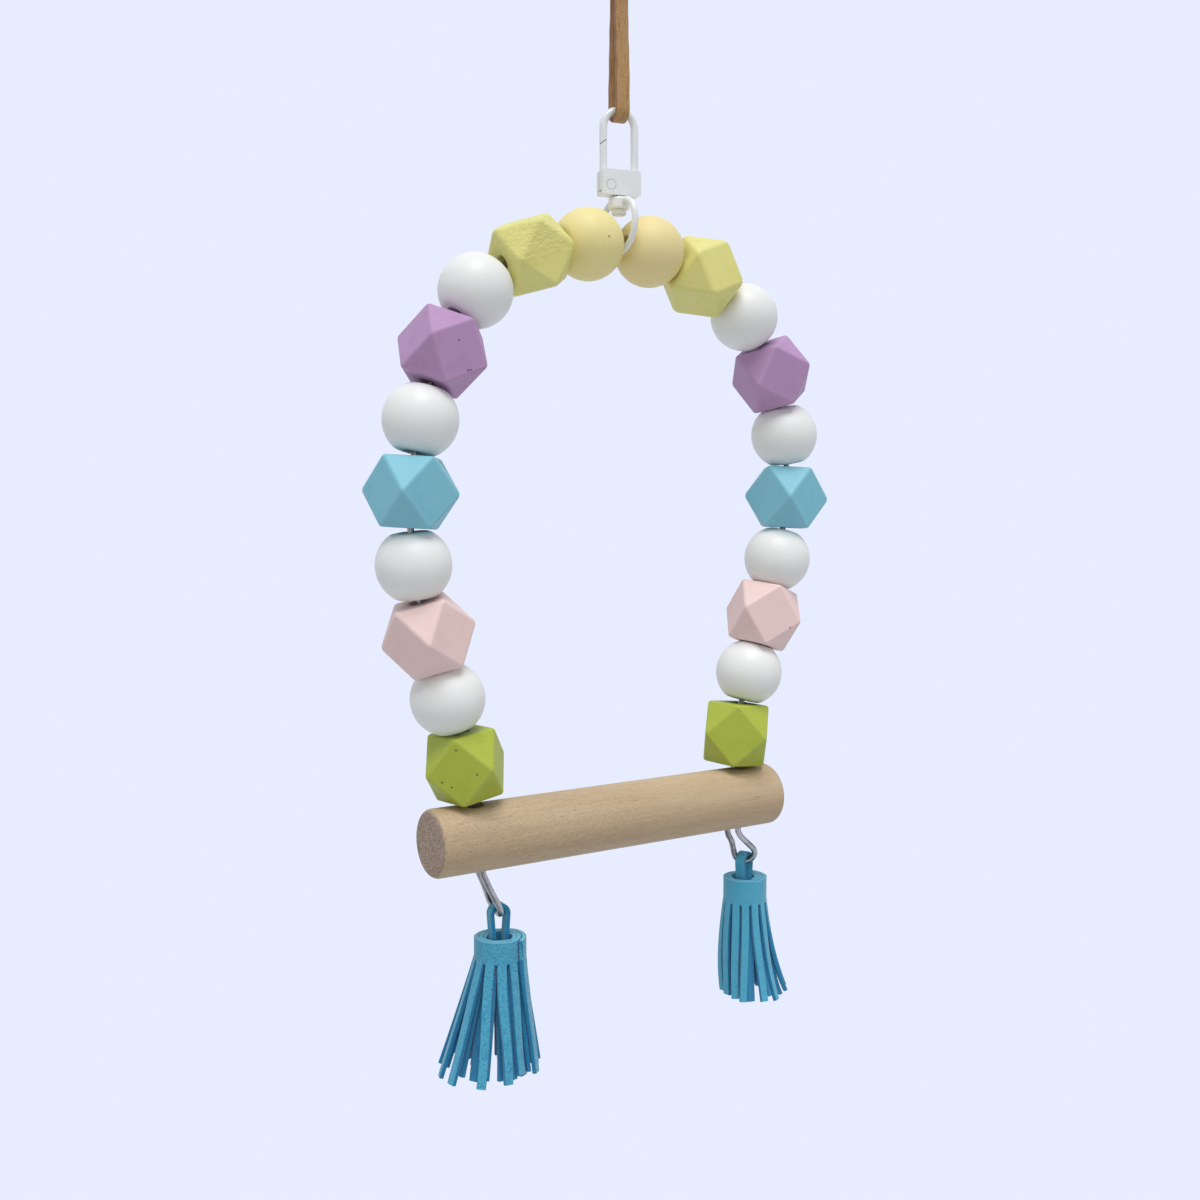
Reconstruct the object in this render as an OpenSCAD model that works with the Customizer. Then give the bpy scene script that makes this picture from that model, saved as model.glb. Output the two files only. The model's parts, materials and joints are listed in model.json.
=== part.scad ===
// Bird swing: a bead-threaded wire arch over a round wooden perch, hung from a
// suede lace by a small swivel clasp, with a fringed suede tassel under each end.
// Origin: the inside top of the lace's hanging eye. Z is up, X runs along the
// perch and the front of the swing faces -Y.

/* [Lace] */
// Width of the suede lace
lace_w = 4; // [3:0.1:4.6]
// Thickness of the suede lace
lace_t = 1.5; // [1:0.1:1.8]

/* [Clasp] */
// Radius of the hook's round wire
hook_wire_r = 1.1; // [0.9:0.05:1.2]
// Distance between the centre lines of the hook's two legs
hook_span = 9.4; // [9:0.1:10.4]
// Height of the hook's top bar above the clasp block
hook_rise = 16.5; // [15:0.5:20]
// Length of the fixed nose below the hook's bend
nose_len = 4; // [3:0.1:5]
// Width of the clasp block
block_w = 11.5; // [11.4:0.1:12.6]
// Height of the clasp block
block_h = 6.9; // [6.6:0.1:8]
// Depth of the clasp block, front to back
block_d = 4.6; // [4.5:0.1:5.6]
// Turn of the clasp on its swivel, away from the arch
clasp_turn = -11; // [-20:1:20]
// Radius of the gate's hinge pin
pin_r = 0.7; // [0.5:0.05:0.75]
// Radius of the gate's round leg
gate_r = 1.05; // [0.9:0.05:1.1]

/* [Ring] */
// Radius of the ring's round wire
ring_wire_r = 0.9; // [0.7:0.05:1]
// Radius of the ring's wide lower bend
ring_low_r = 8; // [7.5:0.1:9]
// Radius of the ring's two shoulders
ring_top_r = 5; // [4.6:0.1:5.4]
// Radius of the swivel boss on top of the ring
boss_r = 2.95; // [2.8:0.05:3.2]
// Height of the swivel boss
boss_h = 3.4; // [3:0.1:3.6]
// Radius of the swivel rivet's shank
rivet_r = 0.95; // [0.8:0.05:1]

/* [Beads] */
// Radius of a round bead
round_r = 10; // [9:0.1:10.4]
// Length of a round bead along its bore, over its two flats
round_h = 17.4; // [16:0.1:17.8]
// Width of a faceted bead over opposite corners of its end faces
facet_w = 18.4; // [16.5:0.1:18.8]
// Length of a faceted bead along its bore
facet_h = 18.5; // [18:0.1:20]
// Rounding of a faceted bead's edges and corners
facet_edge = 0.6; // [0.4:0.05:1]
// Radius of every bead's bore
bore_r = 2.3; // [2.2:0.05:2.5]
// Play between neighbours on the wire
bead_play = 0.1; // [0.08:0.01:0.2]

/* [Wire] */
// Radius of the arch wire
wire_r = 0.9; // [0.8:0.05:0.95]
// Inward lean of the left leg where it passes through the perch
left_leg_lean = 7; // [0:0.5:9]
// Inward lean of the right leg where it passes through the perch
right_leg_lean = 6; // [0:0.5:9]

/* [Perch] */
// Radius of the perch
perch_r = 9.25; // [8:0.05:10]
// Length of the perch beyond its left hole
left_perch_end = 13.8; // [10:0.1:20]
// Length of the perch beyond its right hole
right_perch_end = 12.1; // [10:0.1:20]
// Rounding of the perch's end edges
perch_edge = 1.2; // [0.6:0.1:2]
// Radius of the two holes through the perch
hole_r = 2.75; // [2.65:0.05:3.2]

/* [Eyes] */
// Centre distance between an eye's two legs
leg_gap = 3.2; // [2.8:0.05:3.3]
// Radius of an eye's round bottom
eye_r = 3.1; // [2.9:0.05:3.3]
// Turn of the left eye away from the arch
left_eye_turn = 85; // [60:1:90]
// Turn of the right eye away from the arch
right_eye_turn = 42; // [30:1:60]
// Depth of the left eye below the perch
left_eye_drop = 12.7; // [11:0.1:15]
// Depth of the right eye below the perch
right_eye_drop = 10.4; // [10.4:0.1:14]
// Sideways lean of the left eye from its leg, outwards counted positive
left_eye_lean = -17; // [-24:1:-6]
// Sideways lean of the right eye from its leg, outwards counted positive
right_eye_lean = 40; // [6:1:44]

/* [Tassels] */
// Radius of a tassel's rolled collar
roll_r = 6.7; // [6:0.1:7.4]
// Height of the uncut collar
collar_h = 8.7; // [7:0.1:12]
// Whole height of a tassel, from the collar's top to the tips
tassel_h = 41.5; // [36:0.5:50]
// Thickness of the suede strip
suede_t = 1.2; // [1:0.05:1.3]
// Gap between neighbouring strands where they leave the collar
strand_play = 0.1; // [0.05:0.05:0.4]
// Width of the strap loop
strap_w = 3.2; // [2.6:0.05:3.3]
// Outer radius of the strap loop's round top
strap_r = 3; // [2.95:0.01:3.2]
// Height of the left strap's pivot above its collar
left_strap_rise = 5.4; // [4.2:0.1:7]
// Height of the right strap's pivot above its collar
right_strap_rise = 4; // [3.8:0.1:7]
// Radius of the left fringe at its tips
left_fringe_r = 13.6; // [10:0.1:14.5]
// Radius of the right fringe at its tips
right_fringe_r = 11.8; // [10:0.1:14.5]

/* [Hidden] */
SIDES = ["left", "right"];
BEADS = [
    "pale_round", "yellow_facet", "white_round_1", "purple_facet", "white_round_2",
    "blue_facet", "white_round_3", "pink_facet", "white_round_4", "green_facet"
];
BEAD_NODES = [for (side = SIDES) for (bead = BEADS) str(side, "_", bead)];

$fn = 48;
overrun = 1;
LEFT = 0;
RIGHT = 1;

// Bends of the arch from the ring outwards, as [radius, turn down in degrees].
// A straight stretch has radius 0 and its length in place of the turn.
left_crown_r = 81.2;
left_crown_turn = 24.4;
left_shoulder_r = 34;
left_shoulder_turn = 31.7;
left_flank_r = 100.6;
left_flank_turn = 51.3;
left_straight = 31.5;
left_knee_r = 40;
right_crown_r = 70.5;
right_crown_turn = 35.9;
right_shoulder_r = 34;
right_shoulder_turn = 21.8;
right_flank_r = 80;
right_flank_turn = 49.7;
right_straight = 46.6;
right_knee_r = 40.6;
left_knee_turn =
    90 + left_leg_lean - left_crown_turn - left_shoulder_turn - left_flank_turn;
right_knee_turn =
    90 + right_leg_lean - right_crown_turn - right_shoulder_turn - right_flank_turn;
LEFT_BENDS = [
    [left_crown_r, left_crown_turn], [left_shoulder_r, left_shoulder_turn],
    [left_flank_r, left_flank_turn], [0, left_straight], [left_knee_r, left_knee_turn]
];
RIGHT_BENDS = [
    [right_crown_r, right_crown_turn], [right_shoulder_r, right_shoulder_turn],
    [right_flank_r, right_flank_turn], [0, right_straight], [right_knee_r, right_knee_turn]
];

// A short sleeve, a hair wider than the wire, covers each join between two bends
join_len = 0.5;
join_over = 0.05;

// Turn of each faceted bead about its own bore, from the ring down, in degrees
LEFT_PHASES = [4, 4, 10, 19, 52];
RIGHT_PHASES = [78, 14, 80, 21, 39];

// A place on the wire is [x, z, heading]: heading 0 runs outwards, 90 straight down.
function bend_length(bend) = bend[0] == 0 ? bend[1] : bend[0] * abs(bend[1]) * PI / 180;
function bend_centre(place, bend) =
    let (reach = sign(bend[1]) * bend[0])
    [place.x - reach * sin(place.z), place.y - reach * cos(place.z)];
function along_bend(place, bend, s) =
    let (
        turn = bend[0] == 0 ? 0 : sign(bend[1]) * s / bend[0] * 180 / PI,
        centre = bend_centre(place, bend),
        reach = sign(bend[1]) * bend[0]
    )
    bend[0] == 0
        ? [place.x + s * cos(place.z), place.y - s * sin(place.z), place.z]
        : [
            centre.x + reach * sin(place.z + turn),
            centre.y + reach * cos(place.z + turn),
            place.z + turn
        ];
function after_bends(bends, count, start) =
    count == 0
        ? start
        : let (before = after_bends(bends, count - 1, start), bend = bends[count - 1])
            along_bend(before, bend, bend_length(bend));
function along_wire(bends, s, i = 0, place = [0, 0, 0]) =
    i == len(bends)
        ? [place.x + s * cos(place.z), place.y - s * sin(place.z), place.z]
        : s <= bend_length(bends[i])
            ? along_bend(place, bends[i], s)
            : along_wire(
                bends, s - bend_length(bends[i]), i + 1,
                along_bend(place, bends[i], bend_length(bends[i]))
            );

// How far a round bead reaches past its centre, square to a face tilted by a turn
flat_half = round_h / 2;
flat_rim_r = sqrt(round_r * round_r - flat_half * flat_half);
function round_reach(turn) =
    cos(turn) < flat_half / round_r
        ? round_r
        : flat_half * cos(turn) + flat_rim_r * sin(abs(turn));

// Beads are threaded on one after another, each just clear of the one before.
function first_bead(bends, s = round_h / 2, tries = 8) =
    tries == 0
        ? s
        : let (place = along_wire(bends, s))
            first_bead(
                bends,
                s + ring_wire_r + bead_play + round_reach(place.z) - place.x,
                tries - 1
            );
function next_bead(bends, s, odd, step = facet_h, tries = 10) =
    tries == 0
        ? s + step
        : let (
            here = along_wire(bends, s),
            there = along_wire(bends, s + step),
            facet = odd ? there.z : here.z,
            apart = (there.x - here.x) * cos(facet) - (there.y - here.y) * sin(facet),
            needed = facet_h / 2 + round_reach(there.z - here.z) + bead_play
        )
            next_bead(bends, s, odd, step + needed - apart, tries - 1);
function bead_run(bends, i) =
    i == 0 ? first_bead(bends) : next_bead(bends, bead_run(bends, i - 1), i % 2 == 1);
LEFT_PLACES = [for (i = [0:len(BEADS) - 1]) along_wire(LEFT_BENDS, bead_run(LEFT_BENDS, i))];
RIGHT_PLACES = [for (i = [0:len(BEADS) - 1]) along_wire(RIGHT_BENDS, bead_run(RIGHT_BENDS, i))];

// Lace route in the plane square to the hook's bar, as [y, z] above the bar
bar_wrap_r = 2.5;
LACE_ROUTE = [
    [-1.2, 33], [-1.25, 30], [-1.4, 26], [-1.6, 22], [-1.85, 18], [-2.1, 14], [-2.3, 10],
    [-2.45, 6], [-2.5, 3], [-2.5, 0], [-2.17, -1.25], [-1.25, -2.17], [0, -2.5],
    [1.25, -2.17], [2.17, -1.25], [2.5, 0], [2.5, 3], [2.45, 6], [2.3, 10], [2.1, 14],
    [1.85, 18], [1.6, 22], [1.4, 26], [1.25, 30], [1.2, 33]
];
EYE_ROUTE = [
    [-1.2, 41.5], [-1.6, 42.5], [-2.9, 44], [-4.1, 45.8], [-4.7, 48], [-4.5, 50.2],
    [-3.4, 51.8], [-1.8, 52.6], [0, 52.8], [1.8, 52.6], [3.4, 51.8], [4.5, 50.2],
    [4.7, 48], [4.1, 45.8], [2.9, 44], [1.6, 42.5], [1.2, 41.5]
];
knot_low = 33;
knot_high = 41.5;
knot_wrap_r = 2.9;
knot_cord_r = 1.7;
knot_tilt = 14;
tail_len = 12;
tail_lean = 62;

// Heights below the origin
bar_z = lace_t / 2 - max([for (point = EYE_ROUTE) point.y]);
block_top_z = bar_z - hook_rise;
block_low_z = block_top_z - block_h;
swivel_gap = 0.3;
boss_top_z = block_low_z - swivel_gap;
boss_low_z = boss_top_z - boss_h;
ring_play = 0.1;
// The ring's lower bend turns this far up each side before its shoulders begin
ring_low_turn = 110;
ring_shoulder_y = (ring_low_r - ring_top_r) * sin(ring_low_turn);
ring_height = ring_low_r + ring_top_r - (ring_low_r - ring_top_r) * cos(ring_low_turn);
ring_top_z = boss_top_z - ring_wire_r - ring_play;
ring_low_z = ring_top_z - ring_height;
wire_z = ring_low_z + ring_wire_r + ring_play + wire_r;

// Perch: its top lies just under the lowest faceted bead, however that bead is spun
function end_face_low(place) =
    place.y - facet_h / 2 * sin(place.z) - facet_w / 2 * abs(cos(place.z));
last_bead = len(BEADS) - 1;
stack_low = min(end_face_low(LEFT_PLACES[last_bead]), end_face_low(RIGHT_PLACES[last_bead]));
perch_top_z = wire_z + stack_low - bead_play;
perch_z = perch_top_z - perch_r;
mouth_z = perch_z - perch_r;
function hole_y(turn) = -leg_gap / 2 * sin(turn);
function hole_shift(turn) = leg_gap / 2 * cos(turn);
perch_y = (hole_y(left_eye_turn) + hole_y(right_eye_turn)) / 2;

// A leg runs straight on from the last bend; its foot is level with the perch's underside
left_end = after_bends(LEFT_BENDS, len(LEFT_BENDS), [0, 0, 0]);
right_end = after_bends(RIGHT_BENDS, len(RIGHT_BENDS), [0, 0, 0]);
function leg_fall(end) = wire_z + end.y - mouth_z;
left_foot_x = left_end.x - leg_fall(left_end) * tan(left_leg_lean);
right_foot_x = right_end.x - leg_fall(right_end) * tan(right_leg_lean);
left_hole_x = -left_foot_x - perch_r * tan(left_leg_lean) - hole_shift(left_eye_turn);
right_hole_x = right_foot_x + perch_r * tan(right_leg_lean) + hole_shift(right_eye_turn);
perch_left_x = left_hole_x - left_perch_end;
perch_len = right_hole_x + right_perch_end - perch_left_x;

// Eyes: a drop-shaped loop whose end turns back up into the perch
flare_r = 6;
flare_turn = 16;
lean_r = 3.5;
tuck_len = 6;
shortest_straight = 0.7;
eye_side_len =
    (eye_r * cos(flare_turn) - leg_gap / 2 - flare_r * (1 - cos(flare_turn))) / sin(flare_turn);
eye_body_drop =
    flare_r * sin(flare_turn) + eye_side_len * cos(flare_turn) + eye_r * (1 + sin(flare_turn));
function eye_straight(drop) = max(drop - eye_body_drop, shortest_straight);
function eye_bends(drop) = [
    [0, eye_straight(drop)], [flare_r, flare_turn], [0, eye_side_len],
    [eye_r, -180 - 2 * flare_turn], [0, eye_side_len], [flare_r, flare_turn],
    [0, eye_straight(drop)]
];
function lean_axis_x(turn, lean) = hole_shift(turn) + sign(lean) * lean_r;
function tilted(v, lean) =
    [v.x * cos(lean) + v.z * sin(lean), v.y, v.z * cos(lean) - v.x * sin(lean)];
// The lowest point of an eye's round bottom, from its leg's foot, with X outwards
function eye_low(drop, turn, lean, leg_lean) =
    let (
        axis = [lean_axis_x(turn, lean), 0, 0],
        across = tilted([cos(turn), -sin(turn), 0], leg_lean - lean),
        up = tilted([0, 0, 1], leg_lean - lean),
        fall = across * -across.z - up * up.z,
        middle = [hole_shift(turn), hole_y(turn), eye_r - eye_body_drop - eye_straight(drop)]
    )
    tilted(axis + tilted(middle - axis, -lean), leg_lean) + fall / norm(fall) * eye_r;
// The way the wire runs at that point, turned from X
function eye_heading(turn, lean, leg_lean) =
    let (
        face = cross(
            tilted([cos(turn), -sin(turn), 0], leg_lean - lean),
            tilted([0, 0, 1], leg_lean - lean)
        )
    )
    atan2(face.x, -face.y);
left_low = eye_low(left_eye_drop, left_eye_turn, left_eye_lean, left_leg_lean);
right_low = eye_low(right_eye_drop, right_eye_turn, right_eye_lean, right_leg_lean);
left_pivot = [-left_foot_x - left_low.x, left_low.y, mouth_z + left_low.z];
right_pivot = [right_foot_x + right_low.x, right_low.y, mouth_z + right_low.z];
left_tassel_turn = -eye_heading(left_eye_turn, left_eye_lean, left_leg_lean);
right_tassel_turn = eye_heading(right_eye_turn, right_eye_lean, right_leg_lean);

// Clasp details
hook_half = hook_span / 2;
break_slant = 37;
break_gap = 0.25;
slot_play = 0.1;
slot_half = gate_r + slot_play;
pin_inset = 2.55;
pin_x = pin_inset - block_w / 2;
pin_up = 2.7;
pin_z = block_low_z + pin_up;
pin_play = 0.05;
pin_head_r = 1.32;
pin_head_t = 0.4;
pin_head_play = 0.13;
hub_r = 1.8;
hub_room = 0.25;
slot_floor = 0.8;
gate_foot = 1.3;
block_edge = 0.7;
spring_wire_r = 0.12;
spring_r = 1.2;
spring_turns = 2.25;
rivet_sink = 3;
rivet_head_r = 2.1;
rivet_head_t = 1.5;
rivet_play = 0.08;
boss_edge = 0.7;
break_z = bar_z - hook_half - nose_len;

// Tassel details
collar_edge = 0.8;
pocket_r = 3.4;
pocket_deep = 2;
left_wrap_start = -125;
right_wrap_start = -250;
wrap_span = 322;
wrap_sink = 0.4;
wrap_low = 0.3;
fringe_steps = 6;
// Each ring of strands: share of the collar's radius, share of the fringe's radius, count
LAYER_SHARES = [[0.87, 1, 14], [0.62, 0.7, 9], [0.35, 0.4, 5]];
// Unevenness of the strands' lengths
tip_spread = 0.8;

lace_colour = [0.62, 0.45, 0.31];
clasp_colour = [0.91, 0.92, 0.92];
steel_colour = [0.72, 0.72, 0.72];
wood_colour = [0.78, 0.66, 0.49];
tassel_colour = [0.25, 0.62, 0.73];
BEAD_COLOURS = [
    [0.91, 0.86, 0.58], [0.86, 0.82, 0.5], [0.92, 0.92, 0.91], [0.68, 0.54, 0.71],
    [0.92, 0.92, 0.91], [0.47, 0.68, 0.76], [0.92, 0.92, 0.91], [0.87, 0.75, 0.74],
    [0.92, 0.92, 0.91], [0.62, 0.7, 0.22]
];

// Shared modules

// Stands a drawing made in X and Y upright, facing the front
module upright() {
    rotate([90, 0, 0]) children();
}

// Draws a round wire through bends that start at a place, each with the join at its end
module bent_wire(bends, start, r) {
    for (i = [0:len(bends) - 1]) {
        place = after_bends(bends, i, start);
        bend = bends[i];
        wire_join(after_bends(bends, i + 1, start), r);
        if (bend[0] == 0)
            straight_wire(place, bend[1], r);
        else
            translate(bend_centre(place, bend))
                rotate(bend[1] > 0 ? 90 - place.z - bend[1] : -90 - place.z)
                    rotate_extrude(angle = abs(bend[1]))
                        translate([bend[0], 0])
                            circle(r = r);
    }
}

module straight_wire(place, length, r) {
    translate([place.x, place.y])
        rotate([0, 90, -place.z])
            cylinder(h = length, r = r);
}

module wire_join(place, r) {
    translate([place.x, place.y])
        rotate([0, 90, -place.z])
            cylinder(h = join_len, r = r + join_over, center = true);
}

// Closes a skin over rings of points that are listed one after another
module skinned(points, sides) {
    rings = len(points) / sides;
    side_faces = [
        for (i = [0:rings - 2]) for (j = [0:sides - 1])
            let (
                a = i * sides + j, b = i * sides + (j + 1) % sides,
                c = a + sides, d = b + sides
            )
            each [[a, b, d], [a, d, c]]
    ];
    start_face = [for (j = [sides - 1:-1:0]) j];
    end_face = [for (j = [0:sides - 1]) (rings - 1) * sides + j];
    polyhedron(points = points, faces = concat(side_faces, [start_face, end_face]));
}

// A flat lace along a route of [y, z] points, its width across X
module flat_lace(route) {
    last = len(route) - 1;
    corner_share = 0.7;
    section = [
        for (q = [
            [1, corner_share], [corner_share, 1], [-corner_share, 1], [-1, corner_share],
            [-1, -corner_share], [-corner_share, -1], [corner_share, -1], [1, -corner_share]
        ]) [q.x * lace_w / 2, q.y * lace_t / 2]
    ];
    points = [
        for (i = [0:last])
            let (
                way = route[min(i + 1, last)] - route[max(i - 1, 0)],
                side = [-way.y, way.x] / norm(way)
            )
            for (q = section) [q.x, route[i].x + side.x * q.y, route[i].y + side.y * q.y]
    ];
    skinned(points, len(section));
}

module rounded_slab(w, h, r) {
    square([w - 2 * r, h], center = true);
    square([w, h - 2 * r], center = true);
    for (x = [-1, 1])
        for (y = [-1, 1])
            translate([x * (w / 2 - r), y * (h / 2 - r)])
                circle(r = r);
}

// Everything above the ring is turned together on the swivel
module above_swivel() {
    rotate([0, 0, clasp_turn]) children();
}

// Lace

module lace() {
    color(lace_colour)
        above_swivel()
            translate([0, 0, bar_z])
                flat_lace(LACE_ROUTE);
}

module lace_eye() {
    color(lace_colour)
        above_swivel()
            translate([0, 0, bar_z])
                flat_lace(EYE_ROUTE);
}

module lace_knot() {
    knot_mid = (knot_low + knot_high) / 2;
    color(lace_colour)
        above_swivel()
            translate([0, 0, bar_z]) {
                translate([0, 0, knot_low])
                    cylinder(h = knot_high - knot_low, r = knot_wrap_r);
                for (side = [-1, 1])
                    translate([0, 0, knot_mid + side * knot_cord_r])
                        rotate([side * knot_tilt, side * knot_tilt, 0])
                            rotate_extrude()
                                translate([knot_wrap_r, 0])
                                    circle(r = knot_cord_r);
                for (side = [-1, 1])
                    translate([side * knot_wrap_r, 0, knot_mid])
                        rotate([0, side * tail_lean, 0])
                            lace_tail();
            }
}

module lace_tail() {
    translate([-lace_t / 2, -lace_w / 2, 0])
        cube([lace_t, lace_w, tail_len]);
}

// Clasp

module hook_body() {
    plate_hole_len = block_d + 2 * overrun;
    color(clasp_colour)
        above_swivel() {
            hook_wire();
            difference() {
                translate([0, block_d / 2, (block_top_z + block_low_z) / 2])
                    upright()
                        linear_extrude(height = block_d)
                            rounded_slab(block_w, block_h, block_edge);
                gate_slot();
                translate([pin_x, plate_hole_len / 2, pin_z])
                    upright()
                        cylinder(h = plate_hole_len, r = pin_r);
                for (side = [0, 1])
                    mirror([0, side, 0])
                        translate([pin_x, -block_d / 2 + pin_head_t, pin_z])
                            upright()
                                cylinder(h = pin_head_t + overrun, r = pin_head_r + pin_head_play);
                translate([0, 0, block_low_z - overrun])
                    cylinder(h = rivet_sink + overrun, r = rivet_r);
            }
        }
}

module hook_wire() {
    bend_z = bar_z - hook_half;
    translate([0, 0, bend_z])
        upright()
            rotate_extrude(angle = 180)
                translate([hook_half, 0])
                    circle(r = hook_wire_r);
    translate([hook_half, 0, block_top_z])
        cylinder(h = bend_z - block_top_z, r = hook_wire_r);
    difference() {
        translate([-hook_half, 0, break_z - hook_wire_r])
            cylinder(h = nose_len + hook_wire_r, r = hook_wire_r);
        break_wedge(-1, break_gap / 2);
    }
}

// The half space below (-1) or above (1) the slanted cut between nose and gate
module break_wedge(side, gap) {
    reach = 4 * hook_wire_r;
    translate([-hook_half, 0, break_z])
        rotate([0, -break_slant, 0])
            translate([-reach, -reach, side < 0 ? gap - 2 * reach : -gap])
                cube(2 * reach);
}

module gate_slot() {
    slot_end = pin_x + hub_r + hub_room;
    slot_low = block_low_z + slot_floor;
    translate([-block_w / 2 - overrun, -slot_half, slot_low])
        cube([slot_end + block_w / 2 + overrun, 2 * slot_half, block_h]);
}

module hinge_pin() {
    color(clasp_colour)
        above_swivel()
            translate([pin_x, 0, pin_z])
                upright() {
                    cylinder(h = block_d - 2 * pin_head_t, r = pin_r, center = true);
                    for (side = [0, 1])
                        mirror([0, 0, side])
                            translate([0, 0, block_d / 2 - pin_head_t])
                                cylinder(h = pin_head_t, r = pin_head_r);
                }
}

module gate() {
    foot_z = pin_z - gate_foot;
    color(clasp_colour)
        above_swivel()
            difference() {
                union() {
                    translate([-hook_half, 0, foot_z])
                        cylinder(h = break_z - foot_z + hook_wire_r, r = gate_r);
                    translate([pin_x, 0, pin_z])
                        upright()
                            cylinder(h = gate_r, r = hub_r);
                }
                break_wedge(1, break_gap / 2);
                translate([pin_x, gate_r + overrun, pin_z])
                    upright()
                        cylinder(h = 2 * (gate_r + overrun), r = pin_r + pin_play);
                translate([pin_x, 2 * gate_r, pin_z])
                    upright()
                        cylinder(h = 2 * gate_r, r = hub_r);
            }
}

// Torsion spring on the pin beside the gate's hub: a short coil with two legs
module gate_spring() {
    sides = 6;
    steps = 8;
    coil_low = spring_wire_r + pin_play;
    coil_rise = 2 * spring_wire_r + pin_play;
    leg_share = 0.8;
    rings = floor(spring_turns * steps);
    coil = [
        for (i = [0:rings])
            let (turn = -90 - i * 360 / steps)
            [spring_r * cos(turn), coil_low + coil_rise * i / steps, spring_r * sin(turn)]
    ];
    last = coil[rings];
    wall_leg = coil[0] + [spring_r, 0, 0];
    gate_leg = last + [0, 0, leg_share * spring_r];
    route = concat([wall_leg], coil, [gate_leg]);
    end = len(route) - 1;
    points = [
        for (i = [0:end])
            let (
                way = route[min(i + 1, end)] - route[max(i - 1, 0)],
                first = cross(way, [0, 1, 0]) / norm(cross(way, [0, 1, 0])),
                second = cross(way, first) / norm(cross(way, first))
            )
            for (j = [0:sides - 1])
                let (turn = -j * 360 / sides)
                route[i] + spring_wire_r * (first * cos(turn) + second * sin(turn))
    ];
    color(steel_colour)
        above_swivel()
            translate([pin_x, 0, pin_z])
                skinned(points, sides);
}

module swivel_rivet() {
    color(clasp_colour) {
        translate([0, 0, boss_low_z - rivet_play])
            cylinder(h = block_low_z + rivet_sink - boss_low_z + rivet_play, r = rivet_r);
        translate([0, 0, boss_low_z - rivet_play - rivet_head_t])
            rotate_extrude()
                rivet_head_profile();
    }
}

module rivet_head_profile() {
    dome = rivet_head_t / 2;
    intersection() {
        union() {
            translate([0, dome])
                square([rivet_head_r, rivet_head_t - dome]);
            square([rivet_head_r - dome, dome]);
            translate([rivet_head_r - dome, dome])
                circle(r = dome);
        }
        square([rivet_head_r, rivet_head_t]);
    }
}

// Ring: a wide lower bend, two tighter shoulders and a bored swivel boss

module swivel_ring() {
    low_turn = 2 * ring_low_turn;
    shoulder_turn = 180 - ring_low_turn;
    color(clasp_colour)
        difference() {
            union() {
                translate([0, 0, ring_low_z + ring_low_r])
                    rotate([90, 0, 90])
                        rotate(-90 - ring_low_turn)
                            rotate_extrude(angle = low_turn)
                                translate([ring_low_r, 0])
                                    circle(r = ring_wire_r);
                for (side = [0, 1])
                    mirror([0, side, 0])
                        translate([0, ring_shoulder_y, ring_top_z - ring_top_r])
                            rotate([90, 0, 90])
                                rotate(90 - shoulder_turn)
                                    rotate_extrude(angle = shoulder_turn)
                                        translate([ring_top_r, 0])
                                            circle(r = ring_wire_r);
                translate([0, ring_shoulder_y, ring_top_z])
                    upright()
                        cylinder(h = 2 * ring_shoulder_y, r = ring_wire_r);
                translate([0, 0, boss_low_z])
                    rotate_extrude()
                        boss_profile();
            }
            translate([0, 0, boss_low_z - overrun])
                cylinder(h = boss_h + 2 * overrun, r = rivet_r + rivet_play);
        }
}

module boss_profile() {
    square([boss_r - boss_edge, boss_h]);
    translate([0, boss_edge])
        square([boss_r, boss_h - 2 * boss_edge]);
    for (y = [boss_edge, boss_h - boss_edge])
        translate([boss_r - boss_edge, y])
            circle(r = boss_edge);
}

// Wire and perch

module arch_wire() {
    color(steel_colour) {
        at_crown()
            wire_join([0, 0, 0], wire_r);
        at_crown()
            bent_wire(RIGHT_BENDS, [0, 0, 0], wire_r);
        mirror([1, 0, 0])
            at_crown()
                bent_wire(LEFT_BENDS, [0, 0, 0], wire_r);
        at_foot(RIGHT) {
            cylinder(h = leg_fall(right_end) / cos(right_leg_lean), r = wire_r);
            wire_eye(right_eye_drop, right_eye_turn, right_eye_lean);
        }
        at_foot(LEFT) {
            cylinder(h = leg_fall(left_end) / cos(left_leg_lean), r = wire_r);
            wire_eye(left_eye_drop, left_eye_turn, left_eye_lean);
        }
    }
}

module at_crown() {
    translate([0, 0, wire_z]) upright() children();
}

// Puts its children at a leg's foot, with Z along the leg and X outwards
module at_foot(side) {
    mirror([side == LEFT ? 1 : 0, 0, 0])
        translate([side == LEFT ? left_foot_x : right_foot_x, 0, mouth_z])
            rotate([0, side == LEFT ? left_leg_lean : right_leg_lean, 0])
                children();
}

// The loop below a leg's foot: both its legs lean over, and its end turns back up
module wire_eye(drop, turn, lean) {
    axis_x = lean_axis_x(turn, lean);
    bends = eye_bends(drop);
    back = [leg_gap * cos(turn), -leg_gap * sin(turn), 0];
    translate(back)
        cylinder(h = tuck_len, r = wire_r);
    for (foot = [[0, 0, 0], back]) {
        translate(foot)
            cylinder(h = join_len, r = wire_r + join_over, center = true);
        translate([axis_x, foot.y, 0])
            upright()
                rotate(lean > 0 ? 180 : lean)
                    rotate_extrude(angle = abs(lean))
                        translate([abs(axis_x - foot.x), 0])
                            circle(r = wire_r);
    }
    translate([axis_x, 0, 0])
        rotate([0, -lean, 0])
            translate([-axis_x, 0, 0])
                rotate([0, 0, -turn])
                    upright() {
                        wire_join([0, 0, 90], wire_r);
                        bent_wire(bends, [0, 0, 90], wire_r);
                    }
}

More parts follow.
